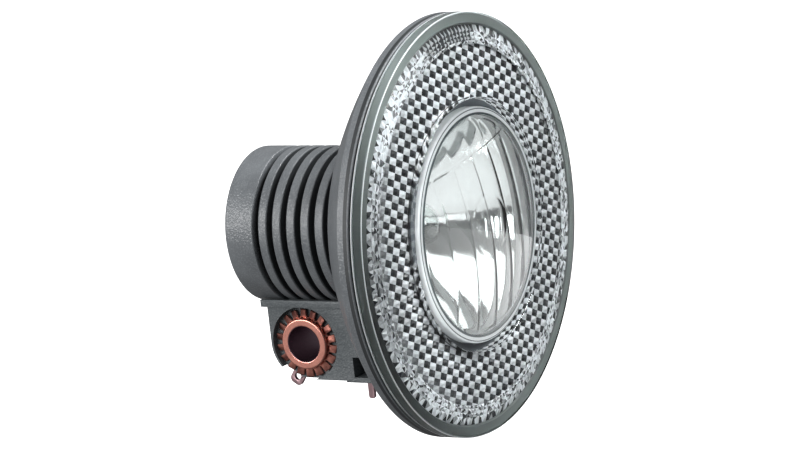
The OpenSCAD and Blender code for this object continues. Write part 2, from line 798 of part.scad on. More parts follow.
module bulb_glass() {
    r = glass_d / 2;
    low = collar_h + 0.1;
    high = collar_h + glass_l;
    color(clear) on_axis() rotate_extrude() difference() {
        union() {
            band(0, r, low, high - r);
            intersection() {
                translate([0, high - r]) circle(r = r);
                band(0, r, high - r, high);
            }
        }
        band(0, r - glass_wall, low + crimp_l, high - r);
        translate([0, high - r]) circle(r = r - glass_wall);
    }
}

module bulb_base() {
    crimp_r = glass_d / 2 + seat_gap;
    color(silver) on_axis() rotate_extrude() {
        band(0, collar_d / 2, collar_h - collar_t, collar_h);
        band(0, bulb_cap_d / 2, bulb_cap_h, collar_h - collar_t);
        band(crimp_r, crimp_r + 0.5, collar_h, collar_h + crimp_l);
    }
}

module bulb_insulator() {
    color(dark) on_axis() translate([0, 0, bead_h])
        cylinder(r1 = bulb_cap_d / 2 - 2, r2 = bulb_cap_d / 2 - 0.9, h = bead_l);
}

module bulb_contact() {
    color(silver) on_axis() translate([0, 0, tip_h]) cylinder(r1 = 1.2, r2 = 1.6, h = tip_l);
}

// Filament: a fine coil across the focus on two upright wires
module bulb_filament() {
    wire = 0.25;
    base_h = collar_h + crimp_l + seat_gap;
    color(silver) on_axis() union() {
        for (side = [-1, 1])
            translate([side * coil_l / 2, 0, base_h]) cylinder(d = 0.4, h = focus_h - base_h + 0.2, $fn = 16);
        translate([-coil_l / 2, 0, focus_h]) rotate([0, 90, 0])
            linear_extrude(coil_l, twist = 360 * 5, slices = 60, $fn = 6) translate([0.35, 0]) circle(d = wire);
    }
}

// Ring over the neck, with a lip behind the bulb's collar
module bulb_retainer() {
    inner = retainer_r - retainer_t;
    low = collar_h - collar_t - seat_gap;
    color(dark) on_axis() rotate_extrude() {
        band(inner, retainer_r, low - retainer_t, collar_h + retainer_grip);
        band(bulb_cap_d / 2 + 0.6, retainer_r, low - retainer_t, low);
    }
}

// Turning cap at the rear, with a finger bar left across its recess
module switch_cap() {
    inner = groove_r + run_gap;
    key_d = 8;
    color(grey) on_axis() difference() {
        rotate_extrude() difference() {
            union() {
                band(0, barrel_r, rear_h + cap_round, cap_h);
                band(0, barrel_r - cap_round, rear_h, cap_h);
                intersection() {
                    translate([barrel_r - cap_round, rear_h + cap_round]) circle(r = cap_round);
                    band(0, barrel_r, rear_h, cap_h);
                }
            }
            band(0, inner, cap_floor_h, cap_h + 1);
        }
        translate([0, 0, rear_h - 1]) difference() {
            cylinder(d = grip_d, h = grip_depth + 1);
            translate([-grip_bar / 2, -grip_d, -1]) cube([grip_bar, 2 * grip_d, grip_depth + 4]);
        }
        translate([0, 0, cap_floor_h - 0.8]) cylinder(d = key_d + 2 * seat_gap, h = 2, $fn = 6);
    }
}

module switch_rotor() {
    key_d = 8;
    color(dark) on_axis() difference() {
        union() {
            rotate_extrude() {
                band(0, chamber_r - 2 * run_gap, cap_floor_h, rotor_h);
                band(0, shaft_d / 2, cap_floor_h, shaft_end_h);
            }
            translate([0, 0, cap_floor_h - 0.7]) cylinder(d = key_d, h = 1.2, $fn = 6);
        }
        for (turn = [0, -switch_turn])
            rotate([0, 0, turn]) at_ball() translate([0, 0, rotor_h + 0.4]) sphere(d = ball_d);
        rotate_extrude() band(shaft_d / 2 - 0.4, shaft_d, carrier_h + 0.2, carrier_h + 0.2 + clip_t + seat_gap);
    }
}

// Copper arc on the rotor: in the off place it reaches one contact, in the on place both
module switch_bridge() {
    color(copper) on_axis() rotate([0, 0, contact_angle - 8 - switch_turn]) translate([0, 0, rotor_h])
        rotate_extrude(angle = bridge_span) band(leaf_post_x - bridge_margin, chamber_r - 1, 0, bridge_t);
}

module rotor_clip() {
    color(silver) on_axis() rotate_extrude()
        band(shaft_d / 2 - 0.35, shaft_d / 2 + clip_w, carrier_h + 0.2, carrier_h + 0.2 + clip_t);
}

housing();
mounting_foot();
foot_screws();
bracket_bush();
ground_washer();
clamp_washer();
live_terminal();
ground_strip();
ground_leaf();
contact_carrier();
centre_contact();
rim_seal();
detent_ball();
detent_spring();
reflector_ring();
ring_backing();
lens();
reflector();
bulb_glass();
bulb_base();
bulb_insulator();
bulb_contact();
bulb_filament();
bulb_retainer();
switch_cap();
switch_rotor();
switch_bridge();
rotor_clip();
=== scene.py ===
"""Bicycle headlight: the looks of every piece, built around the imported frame.

Shapes are worked out in millimetres on the lamp's own axis: radius r, angle a, and depth h along the
way of the light, with h = 0 at the front of the clear flange. They are placed in the frame in metres.
"""

import json
import logging
import math
from collections.abc import Callable
from dataclasses import dataclass
from enum import Enum
from typing import Any

import bmesh
import bpy
import numpy as np
from mathutils import Matrix, Vector

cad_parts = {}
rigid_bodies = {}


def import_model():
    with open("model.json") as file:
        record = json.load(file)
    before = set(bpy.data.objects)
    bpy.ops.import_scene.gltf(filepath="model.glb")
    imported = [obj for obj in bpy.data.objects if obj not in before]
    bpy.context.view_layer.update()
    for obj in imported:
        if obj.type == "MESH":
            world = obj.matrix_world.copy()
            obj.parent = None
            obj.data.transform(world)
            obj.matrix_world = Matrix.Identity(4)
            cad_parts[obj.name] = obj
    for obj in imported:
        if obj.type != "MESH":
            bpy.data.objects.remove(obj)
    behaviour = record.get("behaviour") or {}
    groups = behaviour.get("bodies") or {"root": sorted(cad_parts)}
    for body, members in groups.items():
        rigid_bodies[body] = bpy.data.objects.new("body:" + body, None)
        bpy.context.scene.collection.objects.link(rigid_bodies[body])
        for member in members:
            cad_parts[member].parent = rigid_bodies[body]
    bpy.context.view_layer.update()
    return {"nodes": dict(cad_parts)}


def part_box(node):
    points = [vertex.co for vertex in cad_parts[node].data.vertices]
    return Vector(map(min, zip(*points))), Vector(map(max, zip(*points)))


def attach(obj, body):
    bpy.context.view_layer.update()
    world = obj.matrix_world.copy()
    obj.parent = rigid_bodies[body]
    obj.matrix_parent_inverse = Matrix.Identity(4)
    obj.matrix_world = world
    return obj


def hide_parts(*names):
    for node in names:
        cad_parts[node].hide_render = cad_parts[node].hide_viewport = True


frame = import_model()
log = logging.getLogger("headlight")

Tree = bpy.types.NodeTree
Node = bpy.types.Node
Socket = bpy.types.NodeSocket
Sockets = dict[str | int, Any]
Thing = bpy.types.Object
Point = tuple[float, float, float]
Placing = Callable[[np.ndarray, np.ndarray, np.ndarray], np.ndarray]
Choosing = Callable[[np.ndarray, np.ndarray], np.ndarray]

MM = 0.001
TURN = 2.0 * math.pi

# The ring's face stands this far in front of the flange plane
RING_RISE = 1.5
ring_low, ring_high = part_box("reflector_ring")
FACE_Y = ring_low.y / MM + RING_RISE
AXIS_Z = (ring_low.z + ring_high.z) / 2 / MM
FLANGE_R = (ring_high.x - ring_low.x) / 2 / MM
BARREL_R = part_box("switch_cap")[1].x / MM
LENS_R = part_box("lens")[1].x / MM

# Edge roundings that several pieces share
CRISP = 0.1
SOFT = 0.2
EASED = 0.3
# Points round a large turned piece, and spans in the arc of an edge that shows
ROUND_STEPS = 256
FINE_FAN = 8
# An arc takes at most this share of its shorter side
ARC_SHARE = 0.45
# The flat pads beside an arc are at most these shares of the side and of the arc's radius
PAD_SIDE = 0.05
PAD_ARC = 0.5
# Points closer than this become one, and folds under this many degrees become flat
WELD = 1e-3 * MM
FLAT_FOLD = 1.0
# Weights of the keys in a steady number, and the gain that scatters their sum
HASH_WEIGHTS = (12.9898, 78.233, 37.719)
HASH_GAIN = 43758.5453
# Noise values between which a patch of colour fades in
PATCH_FADE = (0.35, 0.65)
# The attribute that holds each face's painted tone of light and shade, 0 for dark and 1 for bright
TONE = "tone"
# Sockets of a colour mix: the share, the two colours and the result
MIX_SHARE = 0
MIX_FROM = 6
MIX_TO = 7
MIX_RESULT = 2


class Body(Enum):
    """The bodies that pieces ride on."""

    LAMP = "lamp_body"
    FRONT = "front_unit"
    SWITCH = "rear_switch"


class Slot(Enum):
    """The record's material slots."""

    SHELL = "moulded_grey"
    FOOT = "foot_grey"
    RING = "clear_ring"
    LENS = "clear_lens"
    BOWL = "metallised_bowl"
    BULB = "bulb_glass"
    BUSH = "copper_bush"
    WASHER = "copper_washer"
    BLADE = "copper_blade"


class Side(Enum):
    """The sides of the foot, by the sign of X."""

    NEAR = -1
    FAR = 1


class Aim(Enum):
    """Where a studio light points."""

    FACE = "the ring's face"
    MIDDLE = "the lamp's middle"
    UP = "straight up"
    DOWN = "straight down"


def linear(code: str) -> tuple[float, float, float, float]:
    """Turns an sRGB hex colour into linear light.

    Args:
        code: six hex digits, with or without a leading #.

    Returns:
        Red, green, blue and a full alpha.
    """
    digits = code.lstrip("#")
    parts = (int(digits[i : i + 2], 16) / 255 for i in (0, 2, 4))
    red, green, blue = (c / 12.92 if c <= 0.04045 else ((c + 0.055) / 1.055) ** 2.4 for c in parts)
    return red, green, blue, 1.0


def per_mm(size: float) -> float:
    """Gives the texture scale whose features are size millimetres wide."""
    return 1.0 / (size * MM)


def add(tree: Tree, kind: str, inputs: Sockets | None = None, feeds: Sockets | None = None,
        **settings: Any) -> Node:
    """Adds one shader node with its settings and links.

    Args:
        tree: the node tree that takes it.
        kind: the node's Blender type.
        inputs: a value or an output socket for each input, by name or number.
        feeds: the input socket that each output goes to, by name or number.
        settings: the node's own properties.

    Returns:
        The node.
    """
    node = tree.nodes.new(kind)
    for key, value in settings.items():
        setattr(node, key, value)
    for key, value in (inputs or {}).items():
        if isinstance(value, Socket):
            tree.links.new(value, node.inputs[key])
        else:
            node.inputs[key].default_value = value
    for key, socket in (feeds or {}).items():
        tree.links.new(node.outputs[key], socket)
    return node


@dataclass(frozen=True)
class Finish:
    """A surface finish: one Principled shader, to which each kind adds its own pattern."""

    name: str
    base: str
    roughness: float
    metallic: float = 0.0

    def material(self) -> bpy.types.Material:
        """Builds the material once; a later call gives the same one.

        Returns:
            The material.
        """
        found = bpy.data.materials.get(self.name)
        if found:
            return found
        material = bpy.data.materials.new(self.name)
        material.use_nodes = True
        tree = material.node_tree
        tree.nodes.clear()
        settings = {"Base Color": linear(self.base), "Roughness": self.roughness, "Metallic": self.metallic}
        shader = add(tree, "ShaderNodeBsdfPrincipled", settings)
        add(tree, "ShaderNodeOutputMaterial", {"Surface": shader.outputs["BSDF"]})
        self.pattern(tree, shader)
        return material

    def pattern(self, tree: Tree, shader: Node) -> None:
        """Leaves the surface even; a kind with a pattern adds it here."""

    def place(self, tree: Tree) -> Socket:
        """Gives the piece's own coordinates, in metres."""
        return add(tree, "ShaderNodeTexCoord").outputs["Object"]

    def tint(self, tree: Tree, shader: Node, amount: Socket, other: str) -> None:
        """Mixes another colour into the base colour as it is so far.

        Args:
            tree: the material's node tree.
            shader: its Principled shader.
            amount: the socket that gives the other colour's share.
            other: the other colour, sRGB hex.
        """
        colour = shader.inputs["Base Color"]
        under = colour.links[0].from_socket if colour.links else linear(self.base)
        mix = {MIX_SHARE: amount, MIX_FROM: under, MIX_TO: linear(other)}
        add(tree, "ShaderNodeMix", mix, {MIX_RESULT: colour}, data_type="RGBA")

    def mottle(self, tree: Tree, shader: Node, size: float, other: str, share: float) -> None:
        """Drifts the base colour towards another in soft patches.

        Args:
            tree: the material's node tree.
            shader: its Principled shader.
            size: width of a patch in millimetres.
            other: the second colour, sRGB hex.
            share: the most of the second colour.
        """
        patches = {"Vector": self.place(tree), "Scale": per_mm(size), "Detail": 3.0}
        noise = add(tree, "ShaderNodeTexNoise", patches).outputs["Fac"]
        low, high = PATCH_FADE
        fade = {"Value": noise, "From Min": low, "From Max": high, "To Max": share}
        self.tint(tree, shader, add(tree, "ShaderNodeMapRange", fade).outputs["Result"], other)


@dataclass(frozen=True)
class MouldedPlastic(Finish):
    """Nylon or rubber from a spark-eroded mould: a fine even grain that dulls the gloss."""

    grain: float = 0.3
    grain_depth: float = 0.02
    gloss_swing: float = 0.12
    worn: str = "#8c9093"
    flow: float = 6.0
    flow_share: float = 0.25
    speckle: float = 0.5
    speckle_fade: tuple[float, float] = (0.5, 0.62)
    glint: float = 0.0
    glint_depth: float = 0.1
    glint_rough: float = 0.2
    glint_under: float = 0.15

    def pattern(self, tree: Tree, shader: Node) -> None:
        """Adds the mould's grain with paler specks, slight flow marks and, where they are set, glints.

        The grain is drawn about twice its real width, so that it shows.

        Args:
            tree: the material's node tree.
            shader: its Principled shader.
        """
        skin = {"Vector": self.place(tree), "Scale": per_mm(self.grain), "Detail": 2.0, "Roughness": 0.6}
        grain = add(tree, "ShaderNodeTexNoise", skin).outputs["Fac"]
        bump = {"Height": grain, "Distance": self.grain_depth * MM}
        add(tree, "ShaderNodeBump", bump, {"Normal": shader.inputs["Normal"]})
        gloss = {"Value": grain, "To Min": self.roughness - self.gloss_swing,
                 "To Max": self.roughness + self.gloss_swing}
        add(tree, "ShaderNodeMapRange", gloss, {"Result": shader.inputs["Roughness"]})
        self.mottle(tree, shader, self.flow, self.worn, self.flow_share)
        low, high = self.speckle_fade
        specks = {"Value": grain, "From Min": low, "From Max": high, "To Max": self.speckle}
        self.tint(tree, shader, add(tree, "ShaderNodeMapRange", specks).outputs["Result"], self.worn)
        if self.glint:
            self.glints(tree, shader)

    def glints(self, tree: Tree, shader: Node) -> None:
        """Adds a thin shiny skin, whose small tilts catch the light here and there.

        Args:
            tree: the material's node tree.
            shader: its Principled shader.
        """
        tilts = {"Vector": self.place(tree), "Scale": per_mm(self.grain), "Detail": 0.0}
        height = add(tree, "ShaderNodeTexNoise", tilts).outputs["Fac"]
        bump = {"Height": height, "Distance": self.glint_depth * MM}
        add(tree, "ShaderNodeBump", bump, {"Normal": shader.inputs["Coat Normal"]})
        shader.inputs["Coat Weight"].default_value = self.glint
        shader.inputs["Coat Roughness"].default_value = self.glint_rough
        shader.inputs["Specular IOR Level"].default_value = self.glint_under


@dataclass(frozen=True)
class WorkedMetal(Finish):
    """Stamped, drawn or plated metal: fine rolling marks, and patches dulled by handling."""

    tarnish: str = "#7a4a3c"
    tarnish_share: float = 0.35
    patch: float = 1.6
    mark: float = 0.25
    mark_depth: float = 0.006
    polish: float = 0.08
    dulling: float = 0.15

    def pattern(self, tree: Tree, shader: Node) -> None:
        """Adds the marks and the dull patches.

        Args:
            tree: the material's node tree.
            shader: its Principled shader.
        """
        rolling = {"Vector": self.place(tree), "Scale": per_mm(self.mark), "Detail": 4.0}
        marks = add(tree, "ShaderNodeTexNoise", rolling).outputs["Fac"]
        bump = {"Height": marks, "Distance": self.mark_depth * MM}
        add(tree, "ShaderNodeBump", bump, {"Normal": shader.inputs["Normal"]})
        gloss = {"Value": marks, "To Min": self.roughness - self.polish,
                 "To Max": self.roughness + self.dulling}
        add(tree, "ShaderNodeMapRange", gloss, {"Result": shader.inputs["Roughness"]})
        self.mottle(tree, shader, self.patch, self.tarnish, self.tarnish_share)


@dataclass(frozen=True)
class BoredMetal(WorkedMetal):
    """Worked metal on the bolt's line, darker inside its bore."""

    bore: float = 3.55
    bore_fade: float = 0.15
    bore_dark: str = "#97808c"

    def pattern(self, tree: Tree, shader: Node) -> None:
        """Adds the metal's own pattern, and darkens it inside the bore's radius.

        Args:
            tree: the material's node tree.
            shader: its Principled shader.
        """
        super().pattern(tree, shader)
        axes = add(tree, "ShaderNodeSeparateXYZ", {"Vector": self.place(tree)})
        flat = add(tree, "ShaderNodeCombineXYZ", {"Y": axes.outputs["Y"], "Z": axes.outputs["Z"]})
        reach = add(tree, "ShaderNodeVectorMath", {0: flat.outputs["Vector"]}, operation="LENGTH")
        inside = {"Value": reach.outputs["Value"], "From Min": self.bore * MM,
                  "From Max": (self.bore + self.bore_fade) * MM, "To Min": 1.0, "To Max": 0.0}
        self.tint(tree, shader, add(tree, "ShaderNodeMapRange", inside).outputs["Result"], self.bore_dark)


@dataclass(frozen=True)
class Clear(Finish):
    """Polished acrylic or glass: see-through, with a faint waviness from the mould or the flame."""

    ior: float = 1.49
    wave: float = 5.0
    wave_depth: float = 0.004
    passed: float = 1.0

    def pattern(self, tree: Tree, shader: Node) -> None:
        """Lets the light through, and bends it a little.

        Args:
            tree: the material's node tree.
            shader: its Principled shader.
        """
        shader.inputs["Transmission Weight"].default_value = self.passed
        shader.inputs["IOR"].default_value = self.ior
        waves = {"Vector": self.place(tree), "Scale": per_mm(self.wave)}
        height = add(tree, "ShaderNodeTexNoise", waves).outputs["Fac"]
        bump = {"Height": height, "Distance": self.wave_depth * MM}
        add(tree, "ShaderNodeBump", bump, {"Normal": shader.inputs["Normal"]})


@dataclass(frozen=True)
class TonedAcrylic(Finish):
    """Acrylic seen in its depth, in painted light: a face's tone paints it bright where it sends the light
    back, and dark where it lets it through to the dark.
    """

    dark: str = "#161b1f"

    def pattern(self, tree: Tree, shader: Node) -> None:
        """Runs from the dark colour to the base colour by each face's painted tone.

        Args:
            tree: the material's node tree.
            shader: its Principled shader.
        """
        tone = add(tree, "ShaderNodeAttribute", attribute_name=TONE).outputs["Fac"]
        mix = {MIX_SHARE: tone, MIX_FROM: linear(self.dark), MIX_TO: linear(self.base)}
        add(tree, "ShaderNodeMix", mix, {MIX_RESULT: shader.inputs["Base Color"]}, data_type="RGBA")


# Grey nylon, moulded in a textured tool: matt, with a soft light grain and small glints
GREY_NYLON = MouldedPlastic("grey_nylon_moulded", "#585b5e", 0.45, grain=0.34, worn="#7a7e81",
                            speckle=0.3, glint=0.38, glint_depth=0.14)
# Painted shade in the grooves, and the rim painted darker: duller, and nearly black
GROOVE_SHADE_AND_DARK_RIM = MouldedPlastic("nylon_groove_shade_and_dark_rim", "#212426", 0.6, grain=0.4, grain_depth=0.05,
                              worn="#292c2e")
# The foot's nylon is a darker batch of the same, from a rougher tool
FOOT_NYLON = MouldedPlastic("foot_nylon_moulded", "#42474a", 0.46, grain=0.34, grain_depth=0.1,
                            worn="#5c6163")
# Black nylon, moulded smooth: the inner frames and carriers
BLACK_NYLON = MouldedPlastic("black_nylon_moulded", "#1d2022", 0.42, grain=0.5, grain_depth=0.006,
                             worn="#26292b")
# Dark grey nylon, moulded smooth: the plate behind the ring
DARK_NYLON = MouldedPlastic("dark_nylon_moulded", "#4b5155", 0.42, grain=0.5, grain_depth=0.006,
                            worn="#565c60")
# Cured rubber: black and dull
BLACK_RUBBER = MouldedPlastic("black_rubber_cured", "#121314", 0.75, grain=0.4, grain_depth=0.01,
                              worn="#1c1d1e")
# Copper, turned and rolled over: warm and satin
COPPER_TURNED = BoredMetal("copper_turned", "#d39384", 0.3, 1.0, tarnish="#a5685d")
# Copper, stamped: darker and redder in patches
COPPER_STAMPED = WorkedMetal("copper_stamped", "#de9686", 0.36, 1.0, tarnish="#5c3335", tarnish_share=0.7)
# Tinned copper strip: a pinkish grey
COPPER_TINNED = WorkedMetal("copper_tinned_strip", "#ae9195", 0.38, 1.0, tarnish="#8c7074")
# Hard copper leaf: bright spring strip
COPPER_LEAF = WorkedMetal("copper_leaf_rolled", "#cf8c70", 0.26, 1.0)
# Zinc plated steel: cool and satin
STEEL_PLATED = WorkedMetal("steel_zinc_plated", "#c3c6c8", 0.28, 1.0, tarnish="#8f9498")
# Nickel plated brass of the bulb's cap: a warm shine
NICKEL_PLATED = WorkedMetal("nickel_plated_cap", "#cfcbc2", 0.22, 1.0, tarnish="#a19b8e")
# Drawn tungsten wire: dark and dull
TUNGSTEN_DRAWN = WorkedMetal("tungsten_drawn", "#5d5e60", 0.4, 1.0, tarnish="#3c3d3f")
# Aluminium, deposited on a moulded bowl: a bright mirror
ALUMINIUM_MIRROR = WorkedMetal("aluminium_mirror_deposited", "#eef1f1", 0.06, 1.0, tarnish="#e2e6e6",
                               mark=4.0, mark_depth=0.004)
# Acrylic, moulded and polished: clear, and over the cells it bends the light less than in a thick block
ACRYLIC_RING = Clear("acrylic_ring_moulded", "#f5f8f8", 0.02, ior=1.3)
# The lens is of the same acrylic, with its full bend: clear and glossy
ACRYLIC_LENS = Clear("acrylic_lens_moulded", "#fafcfc", 0.02)
# Painted highlight: an edge of the ring or lens gets a pale, half-frosted finish that stands in for the
# light it catches
ACRYLIC_EDGE_HIGHLIGHT = Clear("acrylic_edge_highlight", "#e2e8ea", 0.3, passed=0.4)
# The wall inside the lens is ribbed and frosted, so it looks pale
ACRYLIC_WALL = Clear("acrylic_lens_wall", "#f6f9f9", 0.3, passed=0.1)
# The crease between rim and dome turns the light away, so it looks dark
ACRYLIC_CREASE = Clear("acrylic_lens_crease", "#3d4649", 0.3, passed=0.3)
# Soda glass, drawn and sealed: clear and smooth
BULB_GLASS = Clear("bulb_glass_drawn", "#f6f9f8", 0.01, ior=1.5)
# Painted shade of the flange's thick edge: dark, with a hint of green
FLANGE_DEPTH_SHADE = TonedAcrylic("acrylic_flange_depth_shade", "#a3adab", 0.35, dark="#0c1011")
# Prism cells of the retro-reflecting ring: cool white, or blue-black, as painted reflection
PRISM_CELLS = TonedAcrylic("acrylic_prism_cells", "#f3f8fc", 0.3, dark="#060a10")
# Matt studio paper: an even pale ground
STUDIO_PAPER = Finish("studio_paper_matt", "#d9d9d9", 0.9)


def put(name: str, data: bpy.types.ID) -> Thing:
    """Puts a mesh, light or camera in the scene as an object at the origin.

    Args:
        name: the object's name.
        data: what it shows.

    Returns:
        The object.
    """
    thing = bpy.data.objects.new(name, data)
    bpy.context.scene.collection.objects.link(thing)
    return thing


def smooth(mesh: bpy.types.Mesh) -> None:
    """Lights a mesh's faces as one rounded surface."""
    mesh.polygons.foreach_set("use_smooth", np.full(len(mesh.polygons), True))


@dataclass
class Sheet:
    """Points in millimetres and the faces that join them."""

    points: np.ndarray
    faces: np.ndarray

    @staticmethod
    def grid(points: np.ndarray, wrap_u: bool = False, wrap_v: bool = False) -> "Sheet":
        """Joins a grid of points into quads.

        Args:
            points: rows by columns by three.
            wrap_u: whether the last row joins the first.
            wrap_v: whether the last column joins the first.

        Returns:
            The sheet.
        """
        rows, columns = points.shape[:2]
        index = np.arange(rows * columns).reshape(rows, columns)
        if wrap_u:
            index = np.vstack([index, index[:1]])
        if wrap_v:
            index = np.hstack([index, index[:, :1]])
        quads = np.stack([index[:-1, :-1], index[1:, :-1], index[1:, 1:], index[:-1, 1:]], axis=-1)
        return Sheet(points.reshape(-1, 3), quads.reshape(-1, 4))

    def __add__(self, other: "Sheet") -> "Sheet":
        """Puts two sheets together."""
        faces = np.vstack([self.faces, other.faces + len(self.points)])
        return Sheet(np.vstack([self.points, other.points]), faces)

    def piece(self, name: str) -> Thing:
        """Makes the sheet an object, with its doubles merged and its faces turned outwards.

        Args:
            name: the object's name.

        Returns:
            The object, at the origin.
        """
        mesh = bpy.data.meshes.new(name)
        mesh.from_pydata(self.points * MM, [], self.faces.tolist())
        work = bmesh.new()
        work.from_mesh(mesh)
        bmesh.ops.remove_doubles(work, verts=work.verts, dist=WELD)
        bmesh.ops.recalc_face_normals(work, faces=work.faces)
        work.to_mesh(mesh)
        work.free()
        smooth(mesh)
        return put(name, mesh)


def on_axis(r: np.ndarray, a: np.ndarray, h: np.ndarray) -> np.ndarray:
    """Places turned points on the lamp: X = r cos a, Z = axis + r sin a, Y = face - h, in millimetres."""
    return np.stack(np.broadcast_arrays(r * np.cos(a), FACE_Y - h, AXIS_Z + r * np.sin(a)), axis=-1)


def on_bolt(r: np.ndarray, a: np.ndarray, x: np.ndarray) -> np.ndarray:
    """Places turned points on the bracket bolt's line: Y = r cos a, Z = r sin a, X = x, in millimetres."""
    return np.stack(np.broadcast_arrays(x, r * np.cos(a), r * np.sin(a)), axis=-1)


def turned(profile: np.ndarray, steps: int = ROUND_STEPS, closed: bool = True,
           place: Placing = on_axis) -> Sheet:
    """Turns a profile of (radius, depth) about an axis: each point runs round a full circle.

    Args:
        profile: the points of the section.
        steps: points in the circle.
        closed: whether the profile's end joins its start.
        place: the function that puts radius, angle and depth in the frame.

    Returns:
        The turned sheet.
    """
    a = np.linspace(0, TURN, steps, endpoint=False)[:, None]
    return Sheet.grid(place(profile[None, :, 0], a, profile[None, :, 1]), True, closed)


def rounded(corners: list[Point], closed: bool = True, fan: int = 5) -> np.ndarray:
    """Rounds the corners of an outline.

    Each corner (across, along, radius) becomes an arc that touches both of its sides: the centre lies on
    their bisector, at radius / sin(half angle), and the arc starts radius / tan(half angle) from the
    corner. A point close to each end of the arc keeps the sides flat under smooth shading.

    Args:
        corners: the corners in order. A radius of 0 leaves the point as it is.
        closed: whether the last corner joins the first.
        fan: the spans in each arc.

    Returns:
        The outline's points.
    """
    spots = np.array(corners)[:, :2]
    out = []
    for i, (_, _, radius) in enumerate(corners):
        here = spots[i]
        if radius == 0 or (not closed and i in (0, len(corners) - 1)):
            out.append(here[None])
            continue
        sides = np.array([spots[i - 1], spots[(i + 1) % len(corners)]]) - here
        lengths = np.linalg.norm(sides, axis=1)
        sides /= lengths[:, None]
        half = math.acos(np.clip(sides[0] @ sides[1], -1, 1)) / 2
        reach = min(radius / math.tan(half), ARC_SHARE * lengths.min())
        arc_r = reach * math.tan(half)
        bisector = sides.sum(0) / np.linalg.norm(sides.sum(0))
        centre = here + bisector * arc_r / math.sin(half)
        ends = here + sides * reach - centre
        start, stop = np.arctan2(ends[:, 1], ends[:, 0])
        sweep = (stop - start + math.pi) % TURN - math.pi
        angles = start + sweep * np.linspace(0, 1, fan + 1)
        arc = centre + arc_r * np.stack([np.cos(angles), np.sin(angles)], axis=1)
        pads = here + sides * (reach + np.minimum(PAD_SIDE * lengths, PAD_ARC * arc_r))[:, None]
        out.append(np.vstack([pads[:1], arc, pads[1:]]))
    return np.vstack(out)


def hashed(*keys: np.ndarray) -> np.ndarray:
    """Gives a steady number from 0 to 1 for each set of whole keys: the fraction of a large sine."""
    mix = sum(key * weight for key, weight in zip(keys, HASH_WEIGHTS))
    return np.modf(np.abs(np.sin(mix) * HASH_GAIN))[0]


def ease(value: np.ndarray) -> np.ndarray:
    """Runs from 0 to 1 with level ends: 3 v^2 - 2 v^3 of the clipped value."""
    v = np.clip(value, 0, 1)
    return v * v * (3 - 2 * v)


def swell(offset: np.ndarray, width: float) -> np.ndarray:
    """Stands at 1 where offset is 0 and falls off to both sides: exp(-(offset / width)^2)."""
    return np.exp(-((offset / width) ** 2))


def settle(thing: Thing, body: Body, slot: Slot, finish: Finish, *nodes: str) -> Thing:
    """Puts a piece on its body, dresses it and hides the solids that it stands for.

    Args:
        thing: the piece.
        body: the body that it moves with.
        slot: the record's material slot; not used.
        finish: its finish.
        nodes: the CAD nodes that it replaces.

    Returns:
        The piece.
    """
    thing.data.materials.clear()
    thing.data.materials.append(finish.material())
    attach(thing, body.value)
    if nodes:
        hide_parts(*nodes)
    log.info("%s rides on %s in %s", thing.name, body.value, finish.name)
    return thing


def dress(finish: Finish, *nodes: str) -> None:
    """Gives CAD nodes that stay in view their finish.

    Args:
        finish: the finish.
        nodes: the CAD nodes.
    """
    for node in nodes:
        solid = frame["nodes"][node]
        solid.data.materials.clear()
        solid.data.materials.append(finish.material())
        log.info("%s stays, in %s", node, finish.name)


def face_places(thing: Thing) -> tuple[np.ndarray, np.ndarray, np.ndarray]:
    """Finds the middle of each face of a piece on the lamp's axis.

    Args:
        thing: the piece.

    Returns:
        Radius in millimetres, angle in degrees from 0 to 360, and depth in millimetres.
    """
    middles = np.empty((len(thing.data.polygons), 3), np.float32)
    thing.data.polygons.foreach_get("center", middles.ravel())
    x, y, z = middles.T / MM
    z = z - AXIS_Z
    return np.hypot(x, z), np.mod(np.degrees(np.arctan2(z, x)), 360), FACE_Y - y


def dress_faces(thing: Thing, finish: Finish, chosen: Choosing) -> None:
    """Gives some faces of a piece a further finish.

    Args:
        thing: the piece.
        finish: the further finish.
        chosen: says, for a face's middle at radius r and depth h in millimetres, whether it takes it.
    """
    r, _, h = face_places(thing)
    thing.data.materials.append(finish.material())
    index = np.empty(len(r), np.int32)
    thing.data.polygons.foreach_get("material_index", index)
    index[chosen(r, h)] = len(thing.data.materials) - 1
    thing.data.polygons.foreach_set("material_index", index)


def keep_tones(mesh: bpy.types.Mesh, tone: np.ndarray) -> None:
    """Keeps a tone for each face in the mesh."""
    mesh.attributes.new(TONE, "FLOAT", "FACE").data.foreach_set("value", tone.astype(np.float32))


def softened(node: str, name: str, width: float, angle: float = 35.0) -> Thing:
    """Copies a CAD node, merges its loose triangles and rounds its edges.

    Args:
        node: the CAD node.
        name: the copy's name.
        width: the rounding in millimetres.
        angle: the least fold, in degrees, that counts as an edge.

    Returns:
        The copy.
    """
    mesh = frame["nodes"][node].data.copy()
    mesh.name = name
    work = bmesh.new()
    work.from_mesh(mesh)
    bmesh.ops.remove_doubles(work, verts=work.verts, dist=WELD)
    bmesh.ops.dissolve_limit(work, angle_limit=math.radians(FLAT_FOLD), verts=work.verts, edges=work.edges)
    work.to_mesh(mesh)
    work.free()
    smooth(mesh)
    thing = put(name, mesh)
    bevel = thing.modifiers.new("edges", "BEVEL")
    bevel.width = width * MM
    bevel.segments = 3
    bevel.limit_method = "ANGLE"
    bevel.angle_limit = math.radians(angle)
    bevel.harden_normals = True
    return thing


